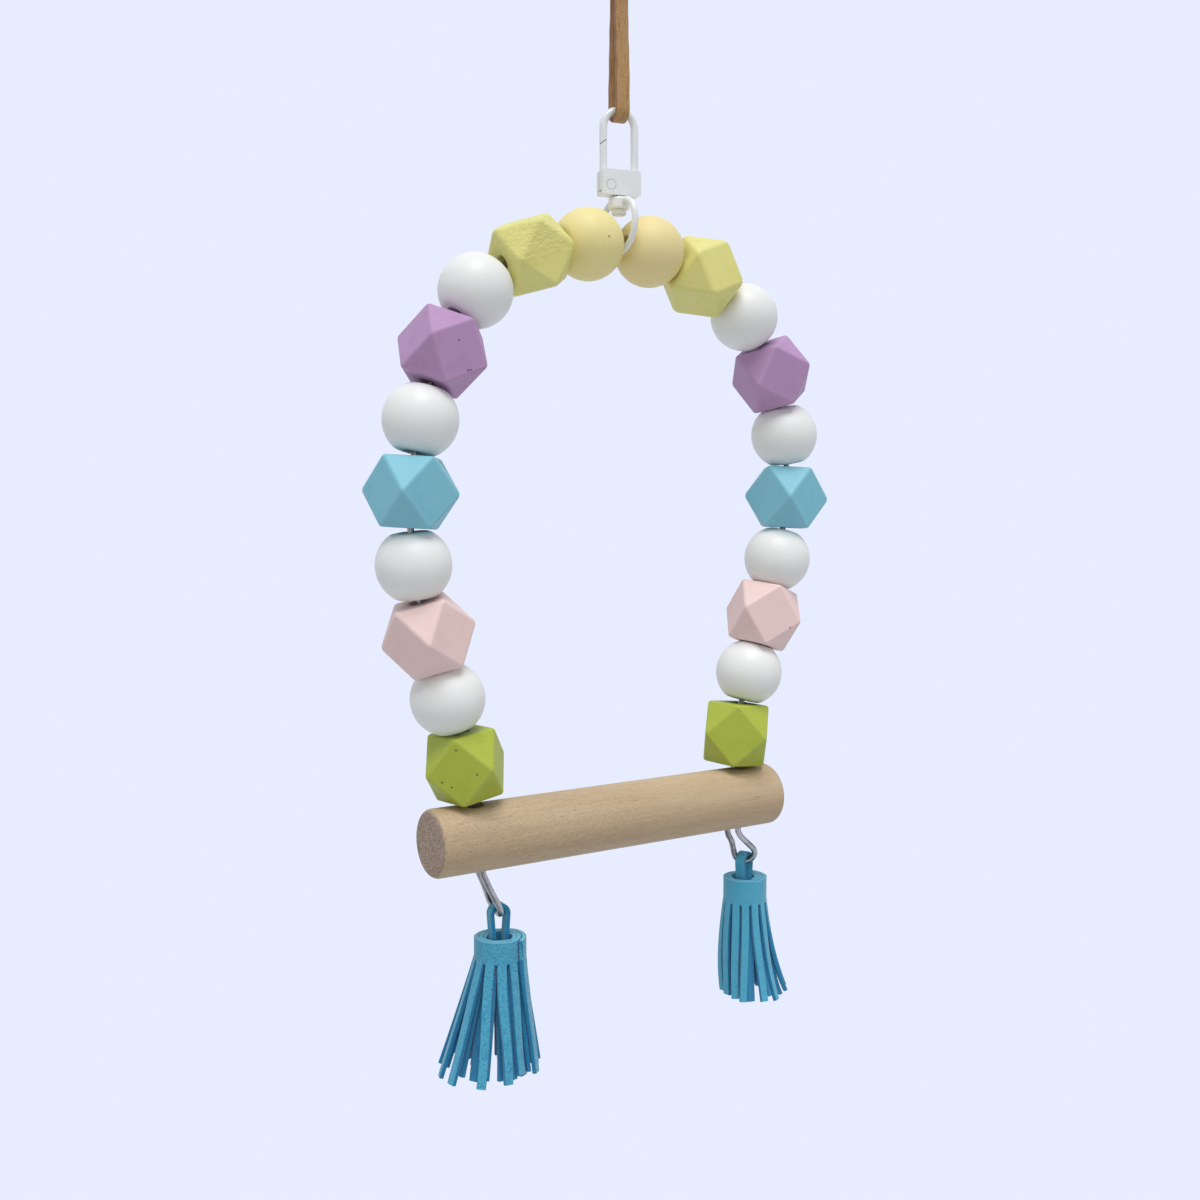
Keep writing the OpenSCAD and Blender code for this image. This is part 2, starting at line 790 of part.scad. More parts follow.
module perch() {
    color(wood_colour)
        difference() {
            translate([perch_left_x, perch_y, perch_z])
                rotate([0, 90, 0])
                    rotate_extrude()
                        perch_profile();
            at_foot(LEFT)
                leg_hole(left_eye_turn, left_leg_lean);
            at_foot(RIGHT)
                leg_hole(right_eye_turn, right_leg_lean);
        }
}

// A hole that follows the leg, wide enough for it and the eye's tucked end
module leg_hole(turn, lean) {
    translate([hole_shift(turn), hole_y(turn), -overrun])
        cylinder(h = 2 * (perch_r + overrun) / cos(lean), r = hole_r);
}

module perch_profile() {
    square([perch_r - perch_edge, perch_len]);
    translate([0, perch_edge])
        square([perch_r, perch_len - 2 * perch_edge]);
    for (y = [perch_edge, perch_len - perch_edge])
        translate([perch_r - perch_edge, y])
            circle(r = perch_edge);
}

// Beads, each drawn about its own bore and then threaded on the wire

module round_bead() {
    mouth = 0.5;
    difference() {
        intersection() {
            sphere(r = round_r);
            cylinder(h = round_h, r = round_r + overrun, center = true);
        }
        cylinder(h = round_h + 2 * overrun, r = bore_r, center = true);
        for (side = [0, 1])
            mirror([0, 0, side])
                translate([0, 0, round_h / 2 - mouth])
                    cylinder(h = 2 * mouth, r1 = bore_r, r2 = bore_r + 2 * mouth);
    }
}

// Twelve corners: four round each end face and four round the middle
module facet_bead() {
    side = facet_w / 2;
    inset = side - facet_edge;
    end = facet_h / 2 - facet_edge;
    difference() {
        hull()
            for (turn = [0:90:270])
                rotate([0, 0, turn]) {
                    for (z = [-end, end])
                        translate([inset, 0, z])
                            sphere(r = facet_edge, $fn = 16);
                    translate([inset, inset, 0])
                        sphere(r = facet_edge, $fn = 16);
                }
        cylinder(h = facet_h + 2 * overrun, r = bore_r, center = true);
    }
}

module threaded(place) {
    translate([place.x, 0, wire_z + place.y])
        rotate([0, 90 + place.z, 0])
            children();
}

module bead(side, i) {
    places = side == LEFT ? LEFT_PLACES : RIGHT_PLACES;
    phases = side == LEFT ? LEFT_PHASES : RIGHT_PHASES;
    color(BEAD_COLOURS[i])
        mirror([side == LEFT ? 1 : 0, 0, 0])
            threaded(places[i])
                if (i % 2 == 0)
                    round_bead();
                else
                    rotate([0, 0, phases[(i - 1) / 2]])
                        facet_bead();
}

// Tassels, each drawn about its pivot on the eye, with X along the wire there

module tassel_strap(rise) {
    inner_r = strap_r - suede_t;
    foot = strap_r - suede_t / 2;
    low = -rise - pocket_deep;
    rotate([90, 0, 90]) {
        rotate_extrude(angle = 180)
            translate([inner_r, -strap_w / 2])
                square([suede_t, strap_w]);
        for (side = [0, 1])
            mirror([side, 0, 0])
                translate([0, 0, -strap_w / 2])
                    linear_extrude(height = strap_w)
                        polygon([[inner_r, 0], [strap_r, 0], [foot, low], [foot - suede_t, low]]);
    }
}

module tassel_fringe(rise, tip_r, wrap_start) {
    translate([0, 0, -rise]) {
        tassel_roll(wrap_start);
        for (k = [0:len(LAYER_SHARES) - 1]) {
            layer = LAYER_SHARES[k];
            top_r = layer[0] * roll_r;
            room = 2 * (top_r - suede_t) * tan(180 / layer[2]);
            for (i = [0:layer[2] - 1])
                rotate([0, 0, (i + k / 2) * 360 / layer[2]])
                    strand(top_r, layer[1] * tip_r, room - strand_play, tip_drop(k, i));
        }
    }
}

// The rolled collar: a core with a pocket for the strap, and an outer wrap that stops
// short of a full turn
module tassel_roll(wrap_start) {
    core_r = roll_r - suede_t / 2;
    rotate_extrude()
        polygon([
            [0, -collar_h], [core_r, -collar_h], [core_r, -collar_edge],
            [core_r - collar_edge, 0], [pocket_r, 0], [pocket_r, -pocket_deep],
            [0, -pocket_deep]
        ]);
    rotate([0, 0, wrap_start])
        rotate_extrude(angle = wrap_span)
            polygon([
                [core_r - wrap_sink, wrap_low - collar_h], [roll_r, wrap_low - collar_h],
                [roll_r, -2 * collar_edge], [core_r - wrap_sink, -collar_edge - wrap_low]
            ]);
}

// Strands differ a little in length, by a rule that repeats unevenly
function tip_drop(layer, i) = tip_spread * sin(i * 137 + layer * 71);

// One strand: the outline of its curve, seen edge on, drawn out to its width
module strand(top_r, low_r, width, drop) {
    head = suede_t - collar_h;
    length = tassel_h + head + drop;
    outer = [
        for (i = [0:fringe_steps])
            let (share = i / fringe_steps)
            [top_r + (low_r - top_r) * pow(share, 1.4), head - share * length]
    ];
    inner = [for (i = [fringe_steps:-1:0]) outer[i] - [suede_t, 0]];
    upright()
        linear_extrude(height = width, center = true)
            polygon(concat(outer, inner));
}

module left_tassel() {
    translate(left_pivot) rotate([0, 0, left_tassel_turn]) children();
}

module right_tassel() {
    translate(right_pivot) rotate([0, 0, right_tassel_turn]) children();
}

module left_tassel_strap() {
    color(tassel_colour) left_tassel() tassel_strap(left_strap_rise);
}

module left_tassel_fringe() {
    color(tassel_colour)
        left_tassel()
            tassel_fringe(left_strap_rise, left_fringe_r, left_wrap_start);
}

module right_tassel_strap() {
    color(tassel_colour) right_tassel() tassel_strap(right_strap_rise);
}

module right_tassel_fringe() {
    color(tassel_colour)
        right_tassel()
            tassel_fringe(right_strap_rise, right_fringe_r, right_wrap_start);
}

lace();
lace_knot();
lace_eye();
hook_body();
hinge_pin();
swivel_rivet();
gate();
gate_spring();
swivel_ring();
arch_wire();
perch();
left_tassel_strap();
left_tassel_fringe();
right_tassel_strap();
right_tassel_fringe();
for (side = [LEFT, RIGHT])
    for (i = [0:len(BEADS) - 1])
        bead(side, i);
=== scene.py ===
"""Dresses the bird swing: wooden beads on a bent wire, a perch, a clasp and two tassels.

Lengths are metres in the shared frame and angles are degrees. Only the wire, the lace's
routes and the beads' pits are written in millimetres, and they are turned into metres
where they are laid out.
"""

import json
import logging
import math
from dataclasses import dataclass, replace
from enum import Enum
from typing import Callable, Optional, Sequence, Union

import bpy
import numpy as np
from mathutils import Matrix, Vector


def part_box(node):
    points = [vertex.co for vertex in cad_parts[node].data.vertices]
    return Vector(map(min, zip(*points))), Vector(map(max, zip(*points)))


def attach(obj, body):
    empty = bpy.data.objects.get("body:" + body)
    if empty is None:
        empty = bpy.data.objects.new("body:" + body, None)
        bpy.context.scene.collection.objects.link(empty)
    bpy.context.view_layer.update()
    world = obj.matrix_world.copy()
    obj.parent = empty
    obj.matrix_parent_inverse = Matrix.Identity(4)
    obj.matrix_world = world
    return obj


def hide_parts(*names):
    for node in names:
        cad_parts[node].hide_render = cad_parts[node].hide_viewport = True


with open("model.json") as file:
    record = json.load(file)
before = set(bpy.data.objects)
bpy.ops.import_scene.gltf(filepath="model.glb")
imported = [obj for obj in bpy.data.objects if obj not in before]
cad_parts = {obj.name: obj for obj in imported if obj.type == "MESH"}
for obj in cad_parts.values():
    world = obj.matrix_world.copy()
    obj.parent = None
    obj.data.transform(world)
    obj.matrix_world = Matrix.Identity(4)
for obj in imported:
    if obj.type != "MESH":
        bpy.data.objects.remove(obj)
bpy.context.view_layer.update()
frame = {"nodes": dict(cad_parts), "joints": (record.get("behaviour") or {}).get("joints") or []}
LOG = logging.getLogger("bird_swing")
MM = 0.001
X, Y, Z = np.eye(3)
Array = np.ndarray

Colour = tuple[float, float, float]
Number = Union[float, "Value"]
Socket = bpy.types.NodeSocket
Paint = Union[Colour, Socket]
Scale = Union[float, tuple[float, float, float]]


# Colours and shader values


def srgb(red: float, green: float, blue: float) -> Colour:
    """Turns a screen colour of 0 to 255 into the linear colour that a shader takes."""
    return tuple(
        c / 12.92 if c <= 0.04045 else ((c + 0.055) / 1.055) ** 2.4
        for c in (red / 255, green / 255, blue / 255)
    )


def _term(operation: str) -> Callable[["Value", Number], "Value"]:
    """Makes the method that adds one Math node on its owner and another number."""

    def method(self: "Value", other: Number) -> "Value":
        """Adds the Math node."""
        return self.math(operation, self, other)

    return method


@dataclass(frozen=True, eq=False)
class Value:
    """A number socket that adds Math nodes when it is used in an expression."""

    recipe: "Recipe"
    socket: Socket

    def math(self, operation: str, *terms: Number) -> "Value":
        """Adds one Math node on the given terms, in order."""
        node = self.recipe.make("ShaderNodeMath", {"operation": operation}, dict(enumerate(terms)))
        return Value(self.recipe, node.outputs[0])

    __add__ = __radd__ = _term("ADD")
    __sub__ = _term("SUBTRACT")
    __mul__ = __rmul__ = _term("MULTIPLY")
    __truediv__ = _term("DIVIDE")
    larger, smaller = _term("MAXIMUM"), _term("MINIMUM")

    def __abs__(self) -> "Value":
        """Size without sign."""
        return self.math("ABSOLUTE", self)

    def ramp(self, low: float, high: float) -> "Value":
        """Rises smoothly from 0 at low to 1 at high, or falls where low is above high."""
        rising = float(low < high)
        node = self.recipe.make(
            "ShaderNodeMapRange",
            {"interpolation_type": "SMOOTHSTEP", "clamp": True},
            {0: self, 1: min(low, high), 2: max(low, high), 3: 1.0 - rising, 4: rising},
        )
        return Value(self.recipe, node.outputs[0])


class Recipe:
    """The nodes of one material or world."""

    def __init__(self, owner: Union[bpy.types.Material, bpy.types.World]) -> None:
        """Starts the owner's nodes anew."""
        owner.use_nodes = True
        self.owner = owner
        self.tree = owner.node_tree
        self.tree.nodes.clear()

    def make(self, kind: str, settings: dict, inputs: dict) -> bpy.types.Node:
        """Adds one node.

        Args:
            kind: the node's type.
            settings: attributes to set first.
            inputs: a value, colour, socket or Value for each input's name or number.

        Returns:
            The new node.
        """
        node = self.tree.nodes.new(kind)
        for key, setting in settings.items():
            setattr(node, key, setting)
        for key, given in inputs.items():
            target = node.inputs[key]
            source = given.socket if isinstance(given, Value) else given
            if isinstance(source, Socket):
                self.tree.links.new(source, target)
            elif isinstance(source, tuple) and len(source) == 3 and target.type == "RGBA":
                target.default_value = (*source, 1.0)
            else:
                target.default_value = source
        return node

    def attribute(self, name: str) -> Socket:
        """The vector that a piece carries under that name."""
        return self.make("ShaderNodeAttribute", {"attribute_name": name}, {}).outputs["Vector"]

    def place(self) -> Socket:
        """The place on the piece, in metres in the shared frame."""
        return self.make("ShaderNodeTexCoord", {}, {}).outputs["Object"]

    def stretched(self, vector: Socket, by: Colour, shift: float = 0.0) -> Socket:
        """A vector times one factor an axis, plus a shift that sets one piece off from another."""
        offset = (shift, 0.7 * shift, 1.3 * shift)
        settings = {"operation": "MULTIPLY_ADD"}
        return self.make("ShaderNodeVectorMath", settings, {0: vector, 1: by, 2: offset}).outputs[0]

    def parts(self, vector: Socket) -> tuple[Value, Value, Value]:
        """The three numbers of a vector."""
        node = self.make("ShaderNodeSeparateXYZ", {}, {0: vector})
        return tuple(Value(self, socket) for socket in node.outputs)

    def noise(
        self, vector: Socket, scale: Scale, detail: float = 3.0, rough: float = 0.55
    ) -> Value:
        """Cloudy noise of about 0 to 1 with its middle at 0.5, of one scale or one an axis."""
        if isinstance(scale, tuple):
            vector, scale = self.stretched(vector, scale), 1.0
        inputs = {"Vector": vector, "Scale": scale, "Detail": detail, "Roughness": rough}
        return Value(self, self.make("ShaderNodeTexNoise", {}, inputs).outputs[0])

    def near(self, vector: Socket, spot: Colour, outer: float, inner: float) -> Value:
        """1 within the inner distance from a spot, and 0 beyond the outer one."""
        settings = {"operation": "DISTANCE"}
        away = self.make("ShaderNodeVectorMath", settings, {0: vector, 1: spot})
        return Value(self, away.outputs[1]).ramp(outer, inner)

    def mix(self, factor: Number, low: Paint, high: Paint) -> Socket:
        """Blends two colours."""
        return self.make(
            "ShaderNodeMix", {"data_type": "RGBA"}, {0: factor, 6: low, 7: high}
        ).outputs[2]

    def bump(self, height: Value, depth: float) -> Socket:
        """A normal that follows a height, whose 0 to 1 is that depth in metres."""
        inputs = {"Strength": 1.0, "Distance": depth, "Height": height}
        return self.make("ShaderNodeBump", {}, inputs).outputs[0]


# Finishes


@dataclass(frozen=True)
class Finish:
    """A named material. Each sort of finish says what its one Principled shader takes."""

    name: str

    def shader(self, recipe: Recipe) -> dict:
        """Returns the Principled shader's inputs."""
        raise NotImplementedError

    def material(self) -> bpy.types.Material:
        """Returns the finished material."""
        recipe = Recipe(bpy.data.materials.new(self.name))
        principled = recipe.make("ShaderNodeBsdfPrincipled", {}, self.shader(recipe))
        recipe.make("ShaderNodeOutputMaterial", {}, {0: principled.outputs[0]})
        return recipe.owner


@dataclass(frozen=True)
class SuedeFinish(Finish):
    """Split leather: a soft nap with mottling and dark specks; darker cut sides, partly their own
    tone and partly painted shade; a painted highlight on the top rim; painted shade on inner
    strands.
    """

    face: Colour
    deep: Colour
    cut: Colour
    speck: float
    streak: float = 0.0
    mottle: float = 0.4
    rim: Colour = (0.5, 0.5, 0.5)

    def shader(self, recipe: Recipe) -> dict:
        """Reads the run attribute: across, along, and edge: 2 on the top rim, which takes a painted
        highlight; 1 on a cut side; -1 on an inner strand, which takes painted shade.
        """
        run = recipe.attribute("run")
        place = recipe.place()
        edge = recipe.parts(run)[2]
        cloud = recipe.noise(place, 260.0, 4.0, 0.6)
        grain = recipe.noise(place, 1500.0, 3.0, 0.65)
        fibre = recipe.noise(run, (2600.0, 160.0, 0.0))
        dark = (cloud * 0.75 + grain * 0.25).ramp(0.5, 0.72 - 0.1 * self.speck)
        specks = recipe.noise(place, 2500.0, 2.0).ramp(0.47, 0.66) * self.speck
        lines = fibre.ramp(0.5, 0.68) * self.streak
        shade = recipe.mix(dark * self.mottle, self.face, self.deep)
        shade = recipe.mix(lines.larger(specks), shade, self.deep)
        # Cut sides darker: partly their own tone and partly painted shade.
        shade = recipe.mix(edge.ramp(0.45, 0.95) * 0.8, shade, self.cut)
        # Top rim paler: painted highlight where the collar's top catches the light.
        shade = recipe.mix(edge.ramp(1.3, 1.9) * 0.85, shade, self.rim)
        # Inner strands darker: painted shade deep in the roll.
        shade = recipe.mix(edge.ramp(-0.3, -0.9) * 0.7, shade, self.cut)
        height = grain * 0.7 + cloud * 0.6 + fibre * (0.3 + self.streak)
        return {
            "Base Color": shade,
            "Roughness": 0.86,
            "Sheen Weight": 0.35,
            "Sheen Roughness": 0.5,
            "Specular IOR Level": 0.25,
            "Normal": recipe.bump(height, 0.35 * MM),
        }


@dataclass(frozen=True)
class PaintFinish(Finish):
    """Gloss paint on die-cast metal, with a faint orange peel and small handling marks."""

    colour: Colour
    worn: Colour

    def shader(self, recipe: Recipe) -> dict:
        """Reads the place on the piece."""
        place = recipe.place()
        peel = recipe.noise(place, 900.0, 2.0)
        cloud = recipe.noise(place, 180.0, 4.0)
        marks = recipe.noise(recipe.stretched(place, (1.0, 1.0, 0.25)), 1400.0).ramp(0.66, 0.72)
        wear = cloud.ramp(0.42, 0.7) * 0.35 + marks * 0.3
        return {
            "Base Color": recipe.mix(wear, self.colour, self.worn),
            "Roughness": cloud * 0.12 + 0.24 + marks * 0.2,
            "Coat Weight": 0.4,
            "Coat Roughness": 0.12,
            "Normal": recipe.bump(peel + marks * 0.5, 0.03 * MM),
        }


@dataclass(frozen=True)
class SteelFinish(Finish):
    """Drawn steel wire: bright, with fine draw lines, a few dull smudges, and darker streaks along
    the wire that are painted reflections.
    """

    colour: Colour
    dull: Colour

    def shader(self, recipe: Recipe) -> dict:
        """Reads the run attribute, so that the draw lines and the painted reflection streaks follow
        the wire.
        """
        run = recipe.attribute("run")
        lines = recipe.noise(run, (4.5, 22.0, 0.0), rough=0.6)
        smudge = recipe.noise(recipe.place(), 420.0, 4.0)
        # Darker streaks round the wire: painted dark reflections, with a few real smudges.
        reflection_and_smudge = (smudge * 0.2 + lines * 0.8).ramp(0.36, 0.62)
        return {
            "Base Color": recipe.mix(reflection_and_smudge, self.colour, self.dull),
            "Metallic": 1.0,
            "Roughness": smudge * 0.2 + lines * 0.2 + 0.14,
            "Normal": recipe.bump(lines, 0.06 * MM),
        }


@dataclass(frozen=True)
class WoodFinish(Finish):
    """A sanded dowel: long grain with short dark pores, and porous end grain."""

    pale: Colour
    deep: Colour
    pore: Colour
    end: Colour
    end_pale: Colour
    nick: Colour
    middle: float
    half: float

    def shader(self, recipe: Recipe) -> dict:
        """Reads the place along X: long grain, and end grain where the dowel ends."""
        place = recipe.place()
        along = recipe.parts(place)[0]
        ends = abs(along - self.middle).ramp(self.half - 0.6 * MM, self.half - 0.1 * MM)
        band = recipe.noise(place, (14.0, 190.0, 190.0), 4.0, 0.6)
        fine = recipe.noise(place, (90.0, 1500.0, 1500.0), rough=0.6)
        pores = recipe.noise(place, (420.0, 3400.0, 3400.0), 2.0).ramp(0.62, 0.7)
        stripes = band.ramp(0.3, 0.72) * 0.55 + fine.ramp(0.35, 0.75) * 0.3
        dusty_side = along.ramp(20 * MM, -12 * MM)
        flecks = recipe.noise(place, 2900.0, 2.0).ramp(0.5, 0.68) * dusty_side
        nick = recipe.near(place, self.nick, 1.1 * MM, 0.5 * MM)
        long_grain = recipe.mix(stripes, self.pale, self.deep)
        for amount in (pores * 0.25, flecks * 0.4, nick * 0.7):
            long_grain = recipe.mix(amount, long_grain, self.pore)
        dots = recipe.noise(place, 2700.0, 2.0).ramp(0.44, 0.6)
        rings = recipe.noise(place, (0.0, 260.0, 60.0))
        end_grain = recipe.mix(dots * 0.7 + rings * 0.2, self.end, self.end_pale)
        height = fine * 0.5 - pores * 0.4 - nick * 3.0 + ends * (dots * 0.9)
        return {
            "Base Color": recipe.mix(ends, long_grain, end_grain),
            "Roughness": fine * 0.2 + 0.5 + ends * 0.15,
            "Specular IOR Level": 0.35,
            "Normal": recipe.bump(height, 0.09 * MM),
        }


@dataclass(frozen=True)
class FloorFinish(Finish):
    """A plain pale board."""

    colour: Colour

    def shader(self, recipe: Recipe) -> dict:
        """Adds a faint unevenness."""
        cloud = recipe.noise(recipe.place(), 9.0)
        darker = tuple(0.92 * c for c in self.colour)
        tint = recipe.mix(cloud * 0.12, self.colour, darker)
        return {"Base Color": tint, "Roughness": cloud * 0.1 + 0.8}


class Turning(Enum):
    """How a bead was shaped."""

    LATHE = "turned round"
    FACET = "cut in flats"


@dataclass(frozen=True)
class BeadSort:
    """One sort of bead in the row: its name, shape, colours and how it has worn."""

    word: str
    slot: str
    turning: Turning
    colour: Colour
    deep: Colour
    worn: Colour
    fibre: float = 0.4
    edge: float = 0.6 * MM
    gloss: float = 0.42


@dataclass(frozen=True)
class Marks:
    """What only one bead shows: pits, as places from its middle, and folded fibres."""

    pits: tuple[Colour, ...] = ()
    wrinkle: float = 0.0


@dataclass(frozen=True)
class BeadFinish(Finish):
    """Dyed or painted wood: tool marks, a mottled coat and paler wear along the edges."""

    sort: BeadSort
    marks: Marks
    half_width: float
    half_length: float
    seed: float
    wear: float = 0.12
    pit: float = 0.4 * MM

    def _edge(self, recipe: Recipe, local: Socket) -> Value:
        """Nearness to an edge: the middle one of the three sorts of face, each 1 on its plane.

        The sorts are the side flats, the slanted triangles and the two end faces.
        """
        x, y, z = (abs(number) for number in recipe.parts(local))
        side = x.larger(y) / self.half_width
        slant = (x + y) / (2 * self.half_width) + z / (2 * self.half_length)
        end = z / self.half_length
        return side.smaller(slant).larger(side.larger(slant).smaller(end))

    def shader(self, recipe: Recipe) -> dict:
        """Reads the local attribute, whose Z is the bore."""
        sort = self.sort
        local = recipe.attribute("local")
        moved = recipe.stretched(local, (1.0, 1.0, 1.0), self.seed)
        cloud = recipe.noise(moved, 170.0, 4.0, 0.6)
        grain = recipe.noise(moved, (1300.0, 1300.0, 150.0))
        rough = recipe.noise(moved, 1100.0, 3.0, 0.7)
        if sort.turning is Turning.LATHE:
            streak = recipe.noise(moved, (25.0, 25.0, 1500.0), rough=0.6)
            darker = streak.ramp(0.45, 0.75) * 0.12
            paler = (cloud * 0.6 + grain * 0.4).ramp(0.6, 0.72) * self.wear * 0.3
            height = streak * 0.16 + cloud * 0.5 + rough * 0.1
        else:
            near = self._edge(recipe, local) + (cloud - 0.5) * 0.09 + (rough - 0.5) * 0.05
            patch = cloud.ramp(0.5, 0.66)
            darker = patch * grain.ramp(0.4, 0.7) * sort.fibre
            paler = near.ramp(0.9, 0.995) * self.wear
            height = grain * (0.12 + sort.fibre * 0.4 * patch) + rough * 0.2 + cloud * 0.6
        if self.marks.wrinkle:
            folds = recipe.noise(moved, (1150.0, 1150.0, 480.0), rough=0.6)
            worn_half = recipe.parts(local)[0].ramp(3 * MM, -1 * MM)
            height = height + folds.ramp(0.42, 0.62) * worn_half * self.marks.wrinkle
        tint = recipe.mix(darker + cloud.ramp(0.4, 0.75) * 0.25, sort.colour, sort.deep)
        tint = recipe.mix(paler, tint, sort.worn)
        for spot in self.marks.pits:
            hole = recipe.near(local, spot, self.pit, 0.45 * self.pit)
            tint = recipe.mix(hole * 0.8, tint, tuple(0.3 * c for c in sort.deep))
            height = height - hole * 1.5
        return {
            "Base Color": tint,
            "Roughness": rough * 0.08 + cloud * 0.1 + sort.gloss,
            "Specular IOR Level": 0.45,
            "Normal": recipe.bump(height, 0.1 * MM),
        }


# Meshes


def table(*columns: Union[float, Array]) -> Array:
    """Numbers or arrays of one shape, side by side along a new last axis."""
    return np.stack(np.broadcast_arrays(*columns), axis=-1).astype(float)


def unit(vectors: Array) -> Array:
    """Each vector over its own length."""
    return vectors / np.maximum(np.linalg.norm(vectors, axis=-1, keepdims=True), 1e-12)


def rotated(points: Array, axis: int, degrees: Union[float, Array]) -> Array:
    """Points turned about one main axis: the other two mix by the sine and cosine.

    Args:
        points: one point, or one a row.
        axis: 0, 1 or 2 for X, Y or Z.
        degrees: one angle, or one a row.

    Returns:
        The turned points, one a row where either was.
    """
    turn = np.radians(degrees)
    points = np.broadcast_to(points, np.broadcast_shapes(np.shape(points), (*turn.shape, 3)))
    a, b = (axis + 1) % 3, (axis + 2) % 3
    out = np.array(points, dtype=float)
    out[..., a] = points[..., a] * np.cos(turn) - points[..., b] * np.sin(turn)
    out[..., b] = points[..., a] * np.sin(turn) + points[..., b] * np.cos(turn)
    return out


def travelled(path: Array) -> Array:
    """How far along the path each of its points lies."""
    return np.concatenate([[0.0], np.cumsum(np.linalg.norm(np.diff(path, axis=0), axis=1))])


def grid_faces(rows: int, columns: int, wrap_rows: bool = False) -> list[list[int]]:
    """Quads over a grid of points whose last column meets the first.

    Args:
        rows: how many rows of points there are.
        columns: how many points a row has.
        wrap_rows: True where the last row meets the first too.

    Returns:
        Four point numbers a face, anticlockwise where columns turn about the rows' way.
    """
    i = np.arange(rows if wrap_rows else rows - 1)[:, None]
    j = np.arange(columns)[None, :]
    down, right = (i + 1) % rows * columns, (j + 1) % columns
    corners = np.broadcast_arrays(i * columns + j, i * columns + right, down + right, down + j)
    return np.stack(corners, axis=-1).reshape(-1, 4).tolist()


def coordinates(mesh: bpy.types.Mesh) -> Array:
    """A mesh's points, one a row."""
    points = np.empty(len(mesh.vertices) * 3)
    mesh.vertices.foreach_get("co", points)
    return points.reshape(-1, 3)


def carry(mesh: bpy.types.Mesh, key: str, vectors: Array) -> None:
    """Gives each point of a mesh a vector that its material can read."""
    layer = mesh.attributes.new(key, "FLOAT_VECTOR", "POINT")
    layer.data.foreach_set("vector", vectors.astype(np.float32).ravel())


@dataclass
class Surface:
    """Points, faces and the vectors that a piece carries for its materials."""

    points: Array
    faces: list
    carried: dict[str, Array]

    def mesh(self, name: str, sharp: float = 40.0) -> bpy.types.Mesh:
        """Makes the mesh, smooth but for edges sharper than that angle in degrees."""
        mesh = bpy.data.meshes.new(name)
        mesh.from_pydata(self.points.tolist(), [], self.faces)
        mesh.validate()
        for key, vectors in self.carried.items():
            carry(mesh, key, vectors)
        mesh.shade_smooth()
        mesh.set_sharp_from_angle(angle=math.radians(sharp))
        return mesh

    def shown(
        self, name: str, material: bpy.types.Material, sharp: float = 40.0
    ) -> bpy.types.Object:
        """Puts the surface into the scene as a piece."""
        return show(name, self.mesh(name, sharp), material)


def joined(parts: Sequence[Surface]) -> Surface:
    """Surfaces as one, each with its point numbers moved on."""
    starts = np.cumsum([0] + [len(part.points) for part in parts]).tolist()
    faces = [[n + at for n in face] for part, at in zip(parts, starts) for face in part.faces]
    keys = parts[0].carried
    return Surface(
        np.concatenate([part.points for part in parts]),
        faces,
        {key: np.concatenate([part.carried[key] for part in parts]) for key in keys},
    )


def added(name: str, data: bpy.types.ID) -> bpy.types.Object:
    """Puts a new object with that data into the scene."""
    thing = bpy.data.objects.new(name, data)
    bpy.context.scene.collection.objects.link(thing)
    return thing


def show(name: str, mesh: bpy.types.Mesh, material: bpy.types.Material) -> bpy.types.Object:
    """Puts a mesh into the scene as a piece with that material."""
    piece = added(name, mesh)
    mesh.materials.clear()
    mesh.materials.append(material)
    return piece


def applied(piece: bpy.types.Object) -> bpy.types.Mesh:
    """A new mesh: the piece's own with its modifiers worked in."""
    bpy.context.view_layer.update()
    graph = bpy.context.evaluated_depsgraph_get()
    return bpy.data.meshes.new_from_object(piece.evaluated_get(graph))


def placed(piece: bpy.types.Object, body: str, slot: str, *nodes: str) -> bpy.types.Object:
    """Lets a piece ride a body and stand for CAD nodes, and reports it.

    Args:
        piece: the finished object.
        body: the body that moves it.
        slot: its material slot in the record; not used.
        nodes: the CAD nodes whose place it takes.

    Returns:
        The piece.
    """
    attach(piece, body)
    if nodes:
        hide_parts(*nodes)
    LOG.info("%s rides %s", piece.name, body)
    return piece


def swept(
    path: Array,
    reference: Array,
    section: Array,
    cut: Optional[Array] = None,
) -> Surface:
    """Carries a closed section along an open path and closes both ends.

    A point is path + a * n + b * (t x n), where t is the path's way, n the reference made
    square to it, and (a, b) the section, listed anticlockwise seen against t.

    Args:
        path: the route's points, n by 3.
        reference: one vector, or one a point, that the section's first number follows.
        section: m by 2, or n by m by 2 where it changes on the way.
        cut: m numbers that say how far a section point is a cut edge.

    Returns:
        The surface, with across, along and cut edge carried as run.
    """
    way = unit(np.gradient(path, axis=0))
    reference = np.broadcast_to(reference, path.shape)
    across = unit(reference - way * np.sum(reference * way, axis=1, keepdims=True))
    other = np.cross(way, across)
    section = np.broadcast_to(section, (len(path), *section.shape[-2:]))
    columns = section.shape[1]
    sideways = section[..., :1] * across[:, None, :] + section[..., 1:] * other[:, None, :]
    points = path[:, None, :] + sideways
    run = table(section[..., 0], travelled(path)[:, None], 0.0 if cut is None else cut)
    last = (len(path) - 1) * columns
    ends = [list(range(columns - 1, -1, -1)), list(range(last, last + columns))]
    faces = grid_faces(len(path), columns) + ends
    return Surface(points.reshape(-1, 3), faces, {"run": run.reshape(-1, 3)})


def round_section(radius: float, sides: int) -> Array:
    """A circle's points, anticlockwise."""
    turn = np.arange(sides) * 2 * math.pi / sides
    return radius * table(np.cos(turn), np.sin(turn))


